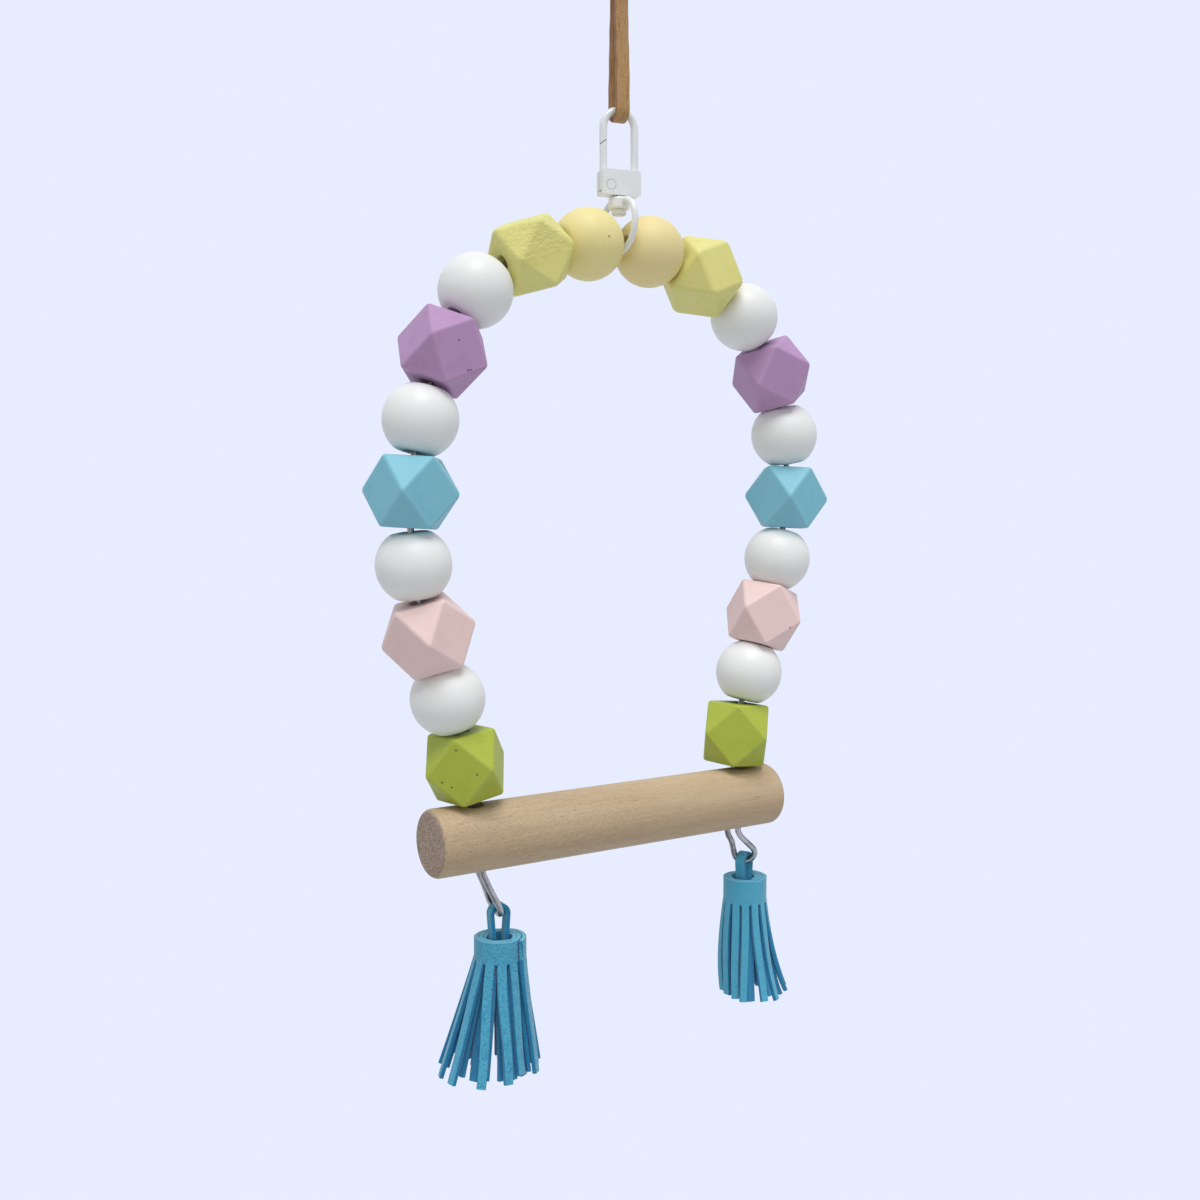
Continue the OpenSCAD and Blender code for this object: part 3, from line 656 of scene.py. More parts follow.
def strip_section(
    width: float, thickness: float, corner: float, steps: int = 3, rows: int = 5
) -> tuple[Array, Array]:
    """A flat strip's section: a rectangle whose corners are quarter circles.

    Args:
        width: the whole width.
        thickness: the whole thickness.
        corner: the corners' radius.
        steps: how many pieces a corner has.
        rows: how many points a broad side has between its corners.

    Returns:
        The points, anticlockwise, and for each 1 where it is on a cut edge, or else 0.
    """
    half, thick = width / 2 - corner, thickness / 2 - corner
    quarter = np.linspace(0, math.pi / 2, steps + 1)
    points, edge = [], []
    for number, (right, up) in enumerate(((1, 1), (-1, 1), (-1, -1), (1, -1))):
        turn = quarter + number * math.pi / 2
        x, y = half * right + corner * np.cos(turn), thick * up + corner * np.sin(turn)
        points.append(table(x, y))
        edge.append(np.abs(np.cos(turn)) > 0.6)
        if number % 2 == 0:
            spread = np.linspace(1, -1, rows + 2)[1:-1] * half * right
            points.append(table(spread, thickness / 2 * up))
            edge.append(np.zeros(rows))
    return np.concatenate(points), np.concatenate(edge).astype(float)


def spun(profile: Array, sides: int, closed: bool = True) -> Surface:
    """Turns a profile of radius and height, upward on the outside, about Z."""
    cosine, sine = round_section(1.0, sides).T
    points = table(profile[:, :1] * cosine, profile[:, :1] * sine, profile[:, 1:]).reshape(-1, 3)
    return Surface(points, grid_faces(len(profile), sides, closed), {"local": points.copy()})


def smoothed_route(points: Array, step: float) -> Array:
    """An even route through points.

    Between two points it is the cubic 0.5 * (2b + (c - a)s + (2a - 5b + 4c - d)s^2 +
    (3b - a - 3c + d)s^3) of four neighbours a to d, and then it is spaced by length.
    """
    padded = np.concatenate([[2 * points[0] - points[1]], points, [2 * points[-1] - points[-2]]])
    share = np.linspace(0, 1, 12, endpoint=False)[:, None]
    a, b, c, d = (padded[i : len(padded) - 3 + i, None, :] for i in range(4))
    square, cube = 2 * a - 5 * b + 4 * c - d, 3 * b - a - 3 * c + d
    curve = 0.5 * (2 * b + (c - a) * share + square * share**2 + cube * share**3)
    curve = np.concatenate([curve.reshape(-1, points.shape[1]), points[-1:]])
    along = travelled(curve)
    even = np.linspace(0, along[-1], max(int(along[-1] / step), 2))
    return table(*(np.interp(even, along, column) for column in curve.T))


def welded(node: str, carried: Sequence[str] = ()) -> Surface:
    """A CAD node's own triangles with their shared corners merged, placed as they are."""
    source = frame["nodes"][node].data
    source.calc_loop_triangles()
    triangles = np.empty(len(source.loop_triangles) * 3, dtype=np.int32)
    source.loop_triangles.foreach_get("vertices", triangles)
    keys, which = np.unique(np.round(coordinates(source), 7), axis=0, return_inverse=True)
    faces = which.reshape(-1)[triangles].reshape(-1, 3)
    real = np.all(faces != np.roll(faces, 1, axis=1), axis=1)
    return Surface(keys, faces[real].tolist(), {key: np.zeros_like(keys) for key in carried})


def joint(name: str) -> tuple[Array, Array]:
    """A joint's place and axis, in metres in the shared frame."""
    row = next(row for row in frame["joints"] if row["name"] == name)
    return np.array(row["pos_m"]), unit(np.array(row["axis"], dtype=float))


class Side(Enum):
    """The two halves of the swing; the value is the way along X."""

    LEFT = -1
    RIGHT = 1

    @property
    def word(self) -> str:
        """The half's name in nodes and bodies."""
        return self.name.lower()


# The studio


@dataclass(frozen=True)
class Studio:
    """The camera, the lamp, the world's light and the floor."""

    eye: Colour = (-0.2168, -0.3221, -0.15878)
    look: Colour = (0.5455, 0.8347, -0.0761)
    lens: float = 40.9
    floor_drop: float = 1.0
    floor_radius: float = 0.45
    backdrop: Colour = srgb(231, 237, 255)
    daylight: Colour = (0.96, 0.98, 1.0)
    daylight_power: float = 0.52
    lamp_way: Colour = (0.14, 0.36, -1.0)
    lamp_power: float = 1.9
    lamp_width: float = 34.0

    def build(self) -> None:
        """Makes everything round the object."""
        self._camera()
        self._world()
        self._lamp()
        self._floor()

    @staticmethod
    def _aimed(name: str, data: bpy.types.ID, way: Colour) -> bpy.types.Object:
        """Puts a camera or lamp into the scene, looking along a way with its top up."""
        thing = added(name, data)
        thing.rotation_euler = Vector(way).to_track_quat("-Z", "Y").to_euler()
        return thing

    def _camera(self) -> None:
        """Stands the camera where the photograph was taken from."""
        data = bpy.data.cameras.new("view")
        data.lens = self.lens
        data.sensor_width = 36.0
        data.clip_start, data.clip_end = 0.01, 20.0
        camera = self._aimed("view", data, self.look)
        camera.location = self.eye
        bpy.context.scene.camera = camera
        bpy.context.scene.view_settings.view_transform = "Standard"

    def _world(self) -> None:
        """Lights the object evenly, and shows it and its gloss the pale backdrop."""
        recipe = Recipe(bpy.data.worlds.new("surroundings"))
        rays = recipe.make("ShaderNodeLightPath", {}, {}).outputs
        camera, gloss, through = (
            Value(recipe, rays[f"Is {sort} Ray"]) for sort in ("Camera", "Glossy", "Transmission")
        )
        light = {"Color": self.daylight, "Strength": self.daylight_power}
        light, shown = (
            recipe.make("ShaderNodeBackground", {}, inputs).outputs[0]
            for inputs in (light, {"Color": self.backdrop})
        )
        sorts = {0: camera.larger(gloss).larger(through), 1: light, 2: shown}
        both = recipe.make("ShaderNodeMixShader", {}, sorts)
        recipe.make("ShaderNodeOutputWorld", {}, {0: both.outputs[0]})
        bpy.context.scene.world = recipe.owner

    def _lamp(self) -> None:
        """Hangs one broad soft lamp above and a little in front, as in the photograph."""
        data = bpy.data.lights.new("overhead", "SUN")
        data.energy, data.angle = self.lamp_power, math.radians(self.lamp_width)
        self._aimed("overhead", data, self.lamp_way)

    def _floor(self) -> None:
        """Lays a round pale floor below the object, outside the main view."""
        rim = round_section(self.floor_radius, 96)
        disc = Surface(table(*rim.T, -self.floor_drop), [list(range(len(rim)))], {})
        floor = disc.shown("floor", FloorFinish("floor_board", srgb(232, 236, 246)).material())


# Lace

# Half routes of forward and up from the hook's bar, in mm, each to its point on the middle.
FOLD = (
    (-1.2, 33), (-1.25, 30), (-1.4, 26), (-1.6, 22), (-1.85, 18), (-2.1, 14), (-2.3, 10),
    (-2.45, 6), (-2.5, 3), (-2.5, 0), (-2.17, -1.25), (-1.25, -2.17), (0, -2.5),
)
EYE = (
    (-1.2, 41.5), (-1.6, 42.5), (-2.9, 44), (-4.1, 45.8), (-4.7, 48), (-4.5, 50.2),
    (-3.4, 51.8), (-1.8, 52.6), (0, 52.8),
)


@dataclass(frozen=True)
class Lace:
    """The folded suede lace, its hanging eye and the knot between them, on the hanger."""

    width: float = 4.0 * MM
    thickness: float = 1.5 * MM
    corner: float = 0.42 * MM
    turn: float = -11.0
    bar_z: float = -52.05 * MM
    leg_gap: float = 2.4 * MM
    knot_low: float = 33.0 * MM
    knot_high: float = 41.5 * MM
    overlap: float = 0.4 * MM
    wraps: float = 2.15
    coil_radius: float = 3.3 * MM
    coil_growth: float = 0.5 * MM
    coil_climb: float = 4.3 * MM
    coil_lean: float = 0.5 * MM

    def build(self) -> None:
        """Makes the two cords and the knot."""
        shades = (srgb(196, 155, 106), srgb(142, 104, 64), srgb(146, 92, 60))
        suede = SuedeFinish("lace_suede", *shades, speck=0.22, streak=0.7).material()
        self._cord("lace_fold", FOLD, suede, "lace")
        self._cord("lace_hanging_eye", EYE, suede, "lace_eye")
        self._knot(suede)

    def _turned(self, points: Array) -> Array:
        """Points or vectors turned with the clasp."""
        return rotated(points, 2, self.turn)

    def _upright(self, route: Array) -> Array:
        """Stands a route of forward and up over the hook's bar, turned with the clasp."""
        return self._turned(table(0.0, route[:, 0], route[:, 1] + self.bar_z))

    def _cord(
        self, name: str, half: Sequence[tuple[float, float]], suede: bpy.types.Material, node: str
    ) -> None:
        route = np.array(half) * MM
        route = np.concatenate([route, route[-2::-1] * [-1, 1]])
        path = self._upright(smoothed_route(route, 0.35 * MM))
        section, cut = strip_section(self.width, self.thickness, self.corner)
        along = np.linspace(0, 1, len(path))[:, None]
        uneven = 1 + 0.02 * np.sin(along * 61) + 0.015 * np.sin(along * 23 + 1)
        section = table(section[:, 0] * uneven, section[:, 1])
        surface = swept(path, self._turned(X), section, cut=cut)
        piece = placed(surface.shown(name, suede, 60), "hanger", "suede_lace", node)
        path[::2].tolist() + [path[-1].tolist()]

    def _knot(self, suede: bpy.types.Material) -> None:
        """Winds two turns of the strip round the fold's legs and leaves two tails.

        The winding is a helix whose radius grows evenly and that leans a little.
        """
        section, cut = strip_section(self.width, self.thickness, self.corner)
        rise = np.linspace(self.knot_low - self.overlap, self.knot_high + self.overlap, 12)
        legs = (self._upright(table(side * self.leg_gap / 2, rise)) for side in (-1, 1))
        parts = [swept(leg, self._turned(X), section, cut) for leg in legs]
        share = np.linspace(0, 1, 90)
        turn = share * self.wraps * 2 * math.pi
        reach = self.coil_radius + self.coil_growth * share
        middle = (self.knot_low + self.knot_high) / 2 + self.bar_z
        climb = (share - 0.5) * self.coil_climb + self.coil_lean * np.cos(turn)
        coil = table(reach * np.cos(turn), reach * np.sin(turn), middle + climb)
        parts.append(swept(self._turned(coil), Z, section, cut))
        share = np.linspace(0, 1, 24)
        for way in (-1, 1):
            out, forward = 2.2 + 11.0 * share, 1.6 * np.sin(share * 3)
            lift = 1.4 * way + 5.0 * share * (1.15 - 0.5 * share)
            tail = table(way * out, way * forward, lift) * MM + middle * Z
            parts.append(swept(self._turned(tail), self._turned(Y), section, cut))
        knot = joined(parts).shown("lace_knot_wraps", suede, 60)
        placed(knot, "hanger", "suede_lace", "lace_knot")


# Clasp


@dataclass(frozen=True)
class Clasp:
    """The swivel snap clasp: hook with its block, pin, rivet, gate, spring and ring."""

    gate_top: float = 2.4 * MM
    end_sides: int = 32

    def build(self) -> None:
        """Dresses each part of the clasp."""
        paint = PaintFinish("clasp_gloss", srgb(244, 246, 247), srgb(226, 229, 227)).material()
        for name, node, body in (
            ("clasp_hook", "hook_body", "clasp"),
            ("clasp_hinge_pin", "hinge_pin", "clasp"),
            ("clasp_rivet", "swivel_rivet", "clasp"),
            ("clasp_gate", "gate", "gate"),
            ("clasp_ring", "swivel_ring", "ring"),
        ):
            placed(welded(node).shown(name, paint, 32), body, "clasp_paint", node)
        # A dark end cap on the gate: painted shade standing for the shadow in the gap at the break.
        dark = PaintFinish("gate_end_steel", srgb(92, 94, 94), srgb(62, 62, 60)).material()
        placed(self._gate_end().shown("clasp_gate_end", dark), "gate", "spring_steel")
        steel = SteelFinish("spring_wire", srgb(200, 202, 205), srgb(120, 122, 126)).material()
        spring = welded("gate_spring", ("run",)).shown("clasp_gate_spring", steel, 60)
        placed(spring, "clasp", "spring_steel", "gate_spring")

    def _gate_end(self) -> Surface:
        """The gate's end cap, painted dark as the shadow in the gap at the break: its slanted top,
        drawn in a little and thickened upwards.

        The slant is read from the gate's own triangles that are high and face up, and the
        end is an ellipse over it.
        """
        gate = welded("gate")
        corners = gate.points[np.array(gate.faces)]
        normals = np.cross(corners[:, 1] - corners[:, 0], corners[:, 2] - corners[:, 0])
        high = corners[:, :, 2].min(axis=1) > gate.points[:, 2].max() - self.gate_top
        slant = high & (unit(normals)[:, 2] > 0.45)
        way = unit(normals[slant].sum(axis=0))
        rim = np.unique(corners[slant].reshape(-1, 3), axis=0)
        middle = (rim.min(axis=0) + rim.max(axis=0)) / 2
        first = unit(np.cross(way, Y))
        plane = np.stack([first, np.cross(way, first)])
        reach = np.abs((rim - middle) @ plane.T).max(axis=0) * 0.97
        ring = middle + (round_section(1.0, self.end_sides) * reach) @ plane
        points = np.concatenate([ring - way * 0.05 * MM, ring + way * 0.2 * MM])
        below = list(range(self.end_sides - 1, -1, -1))
        above = list(range(self.end_sides, 2 * self.end_sides))
        return Surface(points, grid_faces(2, self.end_sides) + [below, above], {})


# Wire and perch


@dataclass(frozen=True)
class Leg:
    """One half of the bent wire, as radius and turn of each bend from the crown down.

    A radius of 0 is a straight, and its turn is then a length in mm.
    """

    side: Side
    bends: tuple[tuple[float, float], ...]
    lean: float
    eye_turn: float
    eye_lean: float
    eye_drop: float


LEGS = (
    Leg(
        Side.LEFT,
        ((81.2, 24.4), (34, 31.7), (100.6, 51.3), (0, 31.5), (40, -10.4)),
        lean=7, eye_turn=85, eye_lean=-17, eye_drop=12.7,
    ),
    Leg(
        Side.RIGHT,
        ((70.5, 35.9), (34, 21.8), (80, 49.7), (0, 46.6), (40.6, -11.4)),
        lean=6, eye_turn=42, eye_lean=40, eye_drop=10.4,
    ),
)


@dataclass(frozen=True)
class ArchWire:
    """The bent steel wire with the two eyes that its ends form below the perch, in mm."""

    mouth_z: float
    wire_z: float = -88.8761
    radius: float = 0.9
    sides: int = 20
    gap: float = 3.2
    eye_radius: float = 3.1
    flare: tuple[float, float] = (6.0, 16.0)
    side_length: float = 4.16
    body_drop: float = 9.61
    least_drop: float = 0.7
    lean_radius: float = 3.5
    tuck: float = 6.0
    arch_step: float = 1.5
    eye_step: float = 0.25

    def build(self) -> None:
        """Sweeps the whole wire as one piece, from one tucked end to the other."""
        steel = SteelFinish("arch_steel", srgb(198, 198, 194), srgb(104, 100, 94)).material()
        left, left_ref = self._half(LEGS[0])
        right, right_ref = self._half(LEGS[1])
        path = np.concatenate([left[::-1], right[1:]]) * MM
        reference = np.concatenate([left_ref[::-1], right_ref[1:]])
        surface = swept(path, reference, round_section(self.radius * MM, self.sides))
        # Around the wire, so that the painted dark reflection streaks run along its sides.
        surface.carried["run"][:, 0] = np.tile(np.arange(self.sides) / self.sides, len(path))
        placed(surface.shown("arch_wire_bent", steel, 60), "frame", "wire_steel", "arch_wire")

    def _half(self, leg: Leg) -> tuple[Array, Array]:
        """One half's route from the crown to its tucked end, in mm, and a vector square to it.

        Each bend is an arc about its centre. The leg runs straight to the perch's underside,
        both legs of the eye lean over on small arcs, and the eye is a drop of flare, side,
        round bottom, side and flare.
        """
        arch = self._bent(leg.bends, 0.0, self.arch_step)
        crown = table(arch[:, 0], 0.0, arch[:, 1] + self.wire_z)
        foot = np.array([self.foot(leg), 0, self.mouth_z])
        down = np.linspace(0, 1, 40)[1:, None]
        straight = crown[-1] + (foot - crown[-1]) * down

        turn = math.radians(leg.eye_turn)
        across = np.array([math.cos(turn), -math.sin(turn), 0])
        square = np.array([math.sin(turn), math.cos(turn), 0])
        back = across * self.gap
        centre = (back[0] / 2 + math.copysign(self.lean_radius, leg.eye_lean)) * X
        lean = -leg.eye_lean * np.linspace(0, 1, 16)
        lean_in = centre + rotated(-centre, 1, lean)
        lean_out = centre + rotated(back - centre, 1, lean)
        lean_in[:, 1], lean_out[:, 1] = 0.0, back[1]
        eye = across * self._eye(leg)[:, :1] + Z * self._eye(leg)[:, 1:2]
        eye = centre + rotated(eye - centre, 1, -leg.eye_lean)
        tuck = back + Z * np.linspace(0, self.tuck, 12)[1:, None]
        below = np.concatenate([lean_in[1:], eye[1:], lean_out[::-1][1:], tuck])

        leaning = rotated(square, 1, lean)
        over = np.tile(leaning[-1], (len(eye) - 1, 1))
        hanging = np.tile(square, (len(tuck), 1))
        sides = np.concatenate([leaning[1:], over, leaning[::-1][1:], hanging])
        turning = unit(Y * (1 - down) + square * down)
        path = np.concatenate([crown, straight, rotated(below, 1, leg.lean) + foot])
        reference = [np.tile(Y, (len(crown), 1)), turning, rotated(sides, 1, leg.lean)]
        flip = np.array([leg.side.value, 1, 1])
        return path * flip, np.concatenate(reference) * flip * leg.side.value

    def _eye(self, leg: Leg) -> Array:
        """The eye as across and up in its own plane, from the end of the lean and back."""
        drop = (0, max(leg.eye_drop - self.body_drop, self.least_drop))
        side = (0, self.side_length)
        bottom = (self.eye_radius, -180 - 2 * self.flare[1])
        return self._bent(
            (drop, self.flare, side, bottom, side, self.flare, drop), 90.0, self.eye_step
        )

    def foot(self, leg: Leg) -> float:
        """How far out, in mm, the leg meets the level of the perch's underside."""
        out, rise = self._bent(leg.bends, 0.0, self.arch_step)[-1, :2]
        return out - (self.wire_z + rise - self.mouth_z) * math.tan(math.radians(leg.lean))

    @staticmethod
    def _bent(
        bends: Sequence[tuple[float, float]], heading: float, step: float
    ) -> Array:
        """Points along bends, as out, up and heading in degrees, an even step apart in mm.

        On an arc a point is the centre plus the radius along the sine and cosine of heading.
        """
        rows = [np.array([[0.0, 0.0, heading]])]
        for radius, turn in bends:
            out, up, facing = rows[-1][-1]
            start = math.radians(facing)
            length = radius * math.radians(abs(turn)) if radius else turn
            s = np.linspace(0, length, max(int(length / step), 3))[1:]
            if radius:
                reach = math.copysign(radius, turn)
                at = start + s / reach
                out = out - reach * math.sin(start) + reach * np.sin(at)
                up = up - reach * math.cos(start) + reach * np.cos(at)
                rows.append(table(out, up, np.degrees(at)))
            else:
                rows.append(table(out + s * math.cos(start), up - s * math.sin(start), facing))
        return np.concatenate(rows)


@dataclass(frozen=True)
class Perch:
    """The round wooden perch, with a hole for each end of the wire."""

    wire: ArchWire
    radius: float = 9.25 * MM
    edge: float = 1.5 * MM
    hole: float = 2.75 * MM
    sides: int = 112
    drilled: tuple[float, float] = (-6.0, 26.0)
    nick: Colour = (-27.2 * MM, -9.2 * MM, -249.6 * MM)

    def build(self) -> None:
        """Turns the dowel, cuts the holes and stains it."""
        low, high = (np.array(corner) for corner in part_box("perch"))
        middle, length = (low + high) / 2, float(high[0] - low[0])
        surface = self._dowel(length)
        surface.points = surface.points[:, [2, 0, 1]] + [low[0], middle[1], middle[2]]
        wood = WoodFinish(
            "perch_birch",
            pale=srgb(203, 180, 148), deep=srgb(184, 157, 124), pore=srgb(122, 94, 74),
            end=srgb(146, 120, 104), end_pale=srgb(206, 188, 170),
            nick=self.nick, middle=float(middle[0]), half=length / 2,
        ).material()
        piece = surface.shown("perch_dowel", wood, 50)
        self._drill(piece)
        placed(piece, "frame", "perch_wood", "perch")

    def _dowel(self, length: float) -> Surface:
        """Turns a rod with rounded rims about Z, closed by a point at each end.

        The profile is radius and length: rings on the end face, a quarter circle, the shaft,
        and the same backwards.
        """
        turn = np.linspace(0, math.pi / 2, 7)
        rim = table(self.radius - self.edge * (1 - np.cos(turn)), self.edge * (1 - np.sin(turn)))
        face = table(np.linspace(0, self.radius - self.edge, 6)[1:-1], 0.0)
        first = np.concatenate([face, rim[::-1]])
        shaft = table(self.radius, np.linspace(self.edge, length - self.edge, 48)[1:-1])
        last = table(first[:, 0], length - first[:, 1])[::-1]
        profile = np.concatenate([first, shaft, last])
        shell = spun(profile, self.sides, closed=False)
        tip, top = len(shell.points), (len(profile) - 1) * self.sides
        pairs = [(j, (j + 1) % self.sides) for j in range(self.sides)]
        faces = shell.faces + [[b, a, tip] for a, b in pairs]
        faces += [[top + a, top + b, tip + 1] for a, b in pairs]
        return Surface(np.concatenate([shell.points, [0 * Z, length * Z]]), faces, {})

    def _drill(self, piece: bpy.types.Object) -> None:
        """Cuts each hole along its leg with a round cutter that is then removed.

        The hole's middle lies half the wire's gap from the leg, towards the tucked end.
        """
        for leg in LEGS:
            turn = math.radians(leg.eye_turn)
            half_gap = self.wire.gap / 2
            height = np.linspace(*self.drilled, 9)
            line = table(half_gap * math.cos(turn), -half_gap * math.sin(turn), height)
            foot = np.array([self.wire.foot(leg), 0, self.wire.mouth_z])
            line = (rotated(line, 1, leg.lean) + foot) * [leg.side.value, 1, 1] * MM
            drill = swept(line, Y, round_section(self.hole, 40))
            cutter = drill.shown("drill", piece.data.materials[0])
            cut = piece.modifiers.new("hole", "BOOLEAN")
            cut.operation, cut.solver, cut.object = "DIFFERENCE", "EXACT", cutter
            drilled = applied(piece)
            piece.modifiers.clear()
            piece.data = drilled
            bpy.data.objects.remove(cutter)
        LOG.info("%s drilled", piece.name)


# Beads


def painted(colour: str, *shades: Colour, **worn: float) -> BeadSort:
    """A bead cut in flats, with its screen colours for face, depths and wear."""
    return BeadSort(
        f"{colour}_facet", f"{colour}_paint", Turning.FACET, *(srgb(*s) for s in shades), **worn
    )


def white(number: int) -> BeadSort:
    """One of the white turned beads."""
    pure, shaded = srgb(243, 244, 242), srgb(234, 235, 232)
    word = f"white_round_{number}"
    return BeadSort(word, "white_paint", Turning.LATHE, pure, shaded, pure, gloss=0.34)


def pits(*spots: Colour) -> tuple[Colour, ...]:
    """Spots in mm as the places of pits."""
    return tuple(tuple(MM * part for part in spot) for spot in spots)


FLAT = 9.2
PEACH = srgb(242, 224, 162)
MARKS = {
    "left_green_facet": Marks(
        pits((-FLAT, 0, -6.4), (-FLAT, 4.6, 0.7), (-FLAT, -4.9, 1.9), (-FLAT, -2.5, 3.4))
    ),
    "left_purple_facet": Marks(pits((4.9, FLAT, 3.2), (4.2, FLAT, 3.7), (-1.4, FLAT, -1.9))),
    "left_yellow_facet": Marks(wrinkle=0.9),
    "left_pale_round": Marks(pits((-0.54, 9.97, -0.48))),
    "right_pink_facet": Marks(pits((-6.2, -FLAT, 2.5))),
}
BEAD_ROW = (
    BeadSort(
        "pale_round", "pale_yellow_paint", Turning.LATHE,
        srgb(244, 230, 160), srgb(234, 214, 138), srgb(248, 240, 196),
    ),
    painted("yellow", (232, 226, 140), (218, 209, 114), (242, 238, 176), edge=1.0 * MM),
    white(1),
    painted("purple", (186, 146, 190), (170, 128, 176), (210, 180, 214), fibre=0.3),
    white(2),
    painted("blue", (130, 197, 216), (115, 184, 204), (176, 222, 235), fibre=0.2),
    white(3),
    painted("pink", (242, 212, 208), (232, 198, 194), (250, 230, 226), fibre=0.2),
    white(4),
    painted("green", (174, 188, 64), (156, 170, 44), (202, 212, 114), fibre=0.3),
)


@dataclass(frozen=True)
class BeadRow:
    """Ten beads threaded on one half of the wire; the phases turn the faceted ones."""

    side: Side
    phases: tuple[float, ...]
    round_radius: float = 10.0 * MM
    round_half: float = 8.7 * MM
    half_width: float = FLAT * MM
    half_length: float = 9.25 * MM
    bore: float = 2.3 * MM
    rim_blend: float = 46.0

    def build(self) -> None:
        """Makes, places and paints each bead."""
        for number, sort in enumerate(BEAD_ROW):
            name = f"{self.side.word}_{sort.word}"
            if sort.turning is Turning.LATHE:
                mesh, phase = self._round().mesh(name, 35), 0.0
            else:
                mesh, phase = self._facet(name, sort.edge), self.phases[number // 2]
            if name == "right_pale_round":
                sort = replace(sort, colour=PEACH)
            paint = BeadFinish(
                f"{name}_coat", sort, MARKS.get(name, Marks()), self.half_width,
                self.half_length, seed=0.031 * (number + 3) * (2 + self.side.value),
            ).material()
            self._thread(mesh, f"{name}_spin", phase)
            placed(show(f"{name}_bead", mesh, paint), name, sort.slot, name)

    def _thread(self, mesh: bpy.types.Mesh, joint_name: str, phase: float) -> None:
        """Turns a bead's mesh about its bore and sets it on its joint.

        The bead's Z is the joint's axis, its X is square to it in the arch's plane, and
        its Y makes the third.
        """
        centre, bore = joint(joint_name)
        points = rotated(coordinates(mesh), 2, phase * self.side.value)
        ahead = np.array([bore[2], 0, -bore[0]]) * self.side.value
        world = centre + points @ np.stack([ahead, np.cross(bore, ahead), bore])
        mesh.vertices.foreach_set("co", world.ravel())
        mesh.update()

    def _round(self) -> Surface:
        """A turned ball between two flats, with its bore.

        The outside is one curve: at each slope the distance from the middle is the smooth
        smaller of the ball's radius and the flats' distance.
        """
        limit = math.atan2(self.round_half, self.bore + 0.6 * MM)
        slope = np.linspace(-limit, limit, 57)
        flats = np.abs(np.sin(slope)) / self.round_half
        power = self.rim_blend
        reach = (self.round_radius**-power + flats**power) ** (-1 / power)
        outside = reach[:, None] * table(np.cos(slope), np.sin(slope))
        half, wall = self.round_half, self.bore
        top = np.array(
            [(wall + 0.5 * MM, half), (wall + 0.12 * MM, half - 0.36 * MM), (wall, half - 0.7 * MM)]
        )
        bore = np.concatenate([top, [(wall, 0.0)], top[::-1] * [1, -1]])
        return spun(np.concatenate([outside, bore]), 96)

    def _facet(self, name: str, softness: float) -> bpy.types.Mesh:
        """A twelve-cornered bead with its bore and softened edges, before it is placed.

        Two end squares stand corner on to four side flats, and eight triangles join them.
        The end faces and the bore are six rings of one grid.
        """
        sides, quarter = 24, 6
        circle = round_section(1.0, sides)
        share = (np.arange(sides) % quarter / quarter)[:, None]
        start = circle[np.arange(sides) // quarter * quarter]
        square = self.half_width * ((1 - share) * start + share * start[:, ::-1] * [-1, 1])
        mouth, bore, top = self.bore + 0.3 * MM, self.bore, self.half_length
        half_rings = [(square, top), (circle * mouth, top), (circle * bore, top - 0.3 * MM)]
        rings = half_rings + [(ring, -height) for ring, height in half_rings[::-1]]
        corners = self.half_width * np.array([(1, 1), (-1, 1), (-1, -1), (1, -1)])
        points = np.concatenate([table(*r.T, z) for r, z in rings + [(corners, 0.0)]])
        faces = grid_faces(6, sides)
        below, first = 5 * sides, 6 * sides
        for k in range(4):
            here = k * quarter
            edge = [(here + n) % sides for n in range(quarter + 1)]
            faces.append([first + k] + edge[::-1])
            faces.append([first + k] + [below + n for n in edge])
            faces.append([first + k, here, first + (k - 1) % 4, below + here])
        piece = added(f"{name}_blank", Surface(points, faces, {}).mesh(name, 50))
        soft = piece.modifiers.new("soft_edges", "BEVEL")
        soft.width, soft.segments, soft.harden_normals = softness, 4, True
        soft.limit_method, soft.angle_limit = "ANGLE", math.radians(50)
        done = applied(piece)
        bpy.data.objects.remove(piece)
        carry(done, "local", coordinates(done))
        done.name = name
        return done


# Tassels


@dataclass(frozen=True)
class Kick:
    """How a fringe leans to one side: the side in degrees, the share and the growth's power."""

    towards: float
    share: float
    power: float


